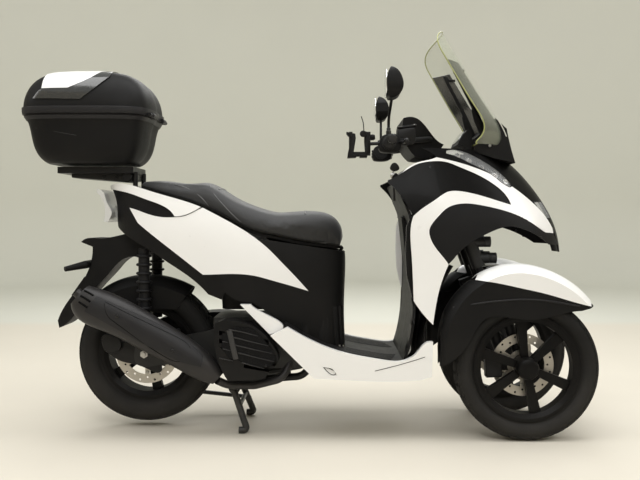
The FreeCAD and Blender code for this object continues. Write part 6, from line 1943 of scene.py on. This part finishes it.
@dataclass
class Studio:
    """Camera, plain floor and soft light.

    Args:
        lens: Focal length in millimetres.
        shift: Sensor shift that puts the horizon where it was.
        flat: Radius of the flat floor.
        sweep: Radius of the turn from floor to wall.
        wall: Height of the wall.
        border: Where the floor's colour gives way to the wall's.
        ground: Colour of the floor.
        backdrop: Colour of the wall.
        blend: How wide the change is.
        cloud: Scale and detail of the colour's noise.
        mottle: Share by which the floor's colour varies.
        roughness: Roughness of floor and wall.
        world: Strength of the light from all round.
        lamps: Name, place, aim, width, depth and watts of each lamp.
    """

    lens: float = 43.09
    shift: tuple[float, float] = (-10.0 / 640.0, -22.0 / 640.0)
    flat: float = 6.4
    sweep: float = 1.0
    wall: float = 6.5
    border: float = 2.6
    ground: tuple[float, float, float] = (0.66, 0.615, 0.53)
    backdrop: tuple[float, float, float] = (0.66, 0.655, 0.585)
    blend: float = 0.25
    cloud: tuple[float, float] = (1.5, 3.0)
    mottle: float = 0.04
    roughness: float = 0.7
    world: float = 0.55
    lamps: tuple = (
        ("top", (0.2, -0.5, 3.6), (0.0, -0.1, 0.3), 4.4, 2.6, 118.0),
        ("front", (0.4, -3.9, 3.2), (0.1, 0.0, 0.5), 3.6, 1.4, 72.0),
        ("behind", (0.0, 3.6, 3.4), (0.0, 0.0, 0.4), 3.6, 1.4, 60.0),
        ("wall", (0.0, 2.8, 4.6), (0.0, 7.4, 1.6), 9.0, 1.0, 74.0),
        ("left", (-3.6, -1.2, 2.8), (-0.2, 0.0, 0.6), 1.6, 1.6, 24.0),
        ("right", (3.8, -1.0, 2.6), (0.4, 0.0, 0.6), 1.6, 1.6, 24.0),
    )

    def build(self) -> None:
        """Sets the stage."""
        self._camera()
        self._floor()
        self._lights()

    def _camera(self) -> None:
        """Camera at the photograph's angle."""
        data = bpy.data.cameras.new("camera")
        data.lens = self.lens
        data.sensor_width = 36.0
        data.shift_x, data.shift_y = self.shift
        data.clip_start = 0.05
        view = bpy.data.objects.new("camera", data)
        view.location = CAMERA
        view.rotation_euler = (math.pi / 2, 0, 0)
        bpy.context.collection.objects.link(view)
        bpy.context.scene.camera = view
        bpy.context.scene.view_settings.view_transform = "Standard"

    def _floor(self) -> None:
        """Round pale floor that turns up into the wall."""
        profile = [(0.02, 0.0), (self.flat, 0.0)]
        for index in range(1, 9):
            angle = math.radians(90 * index / 8)
            profile.append((self.flat + self.sweep * math.sin(angle), self.sweep * (1 - math.cos(angle))))
        profile.append((self.flat + self.sweep, self.wall))
        Bench.clear()
        bpy.ops.mesh.primitive_circle_add(vertices=96, radius=profile[0][0], fill_type="NGON")
        floor = bpy.context.object
        Bench.edit()
        for (reach, low), (wide, high) in zip(profile, profile[1:]):
            bpy.ops.mesh.extrude_region_move(TRANSFORM_OT_translate={"value": (0, 0, high - low)})
            bpy.ops.transform.resize(value=(wide / reach, wide / reach, 1.0))
        bpy.ops.mesh.delete(type="ONLY_FACE")
        bpy.ops.object.mode_set(mode="OBJECT")
        Bench.finish("studio_floor", 60.0)
        floor.data.transform(Matrix.Translation((0, 0, -0.0005)))
        wiring = Wiring("studio")
        cloud = wiring.noise(*self.cloud)
        depth = wiring.add("ShaderNodeSeparateXYZ", "Y", {"Vector": wiring.place})
        border = wiring.add("ShaderNodeMapRange", "Result", {
            "From Min": self.border, "From Max": self.border + self.blend, "Value": depth})
        ground = wiring.shades(cloud, self.ground, self.mottle)
        backdrop = wiring.shades(cloud, self.backdrop, self.mottle / 2)
        colour = wiring.mix(ground, backdrop, border)
        wiring.feed(wiring.shader, "Base Color", colour)
        wiring.feed(wiring.shader, "Roughness", self.roughness)
        floor.data.materials.append(wiring.material)

    def _lights(self) -> None:
        """Large soft lamps above, in front and behind."""
        world = bpy.data.worlds.new("studio")
        world.use_nodes = True
        world.node_tree.nodes["Background"].inputs["Color"].default_value = (0.95, 0.97, 0.92, 1.0)
        world.node_tree.nodes["Background"].inputs["Strength"].default_value = self.world
        bpy.context.scene.world = world
        for name, spot, aim, width, depth, power in self.lamps:
            data = bpy.data.lights.new(name, "AREA")
            data.shape = "RECTANGLE"
            data.size, data.size_y, data.energy = width, depth, power
            lamp = bpy.data.objects.new(name, data)
            lamp.location = spot
            lamp.visible_camera = False
            lamp.rotation_euler = (Vector(aim) - Vector(spot)).to_track_quat("-Z", "Y").to_euler()
            bpy.context.collection.objects.link(lamp)


def main() -> None:
    """Builds the whole scene."""
    logging.basicConfig(level=logging.INFO)
    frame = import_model()
    shaders = Shaders()
    scooter = Scooter(frame, shaders)
    scooter.paint_nodes()
    Studio().build()
    cushion = Cushion()
    cushion.build(scooter)
    cushion.sew(scooter)
    for part in (Grips(), *tyres(), FloorMat()):
        part.build(scooter)
    for trim in (CoolingCore, Seams, MirrorGlass, Screen, Fasteners, WheelTrim, Cockpit, Lamps, InnerShield,
                 TopBoxTrim, CaseTrim):
        trim().build(scooter)


if __name__ == "__main__":
    main()
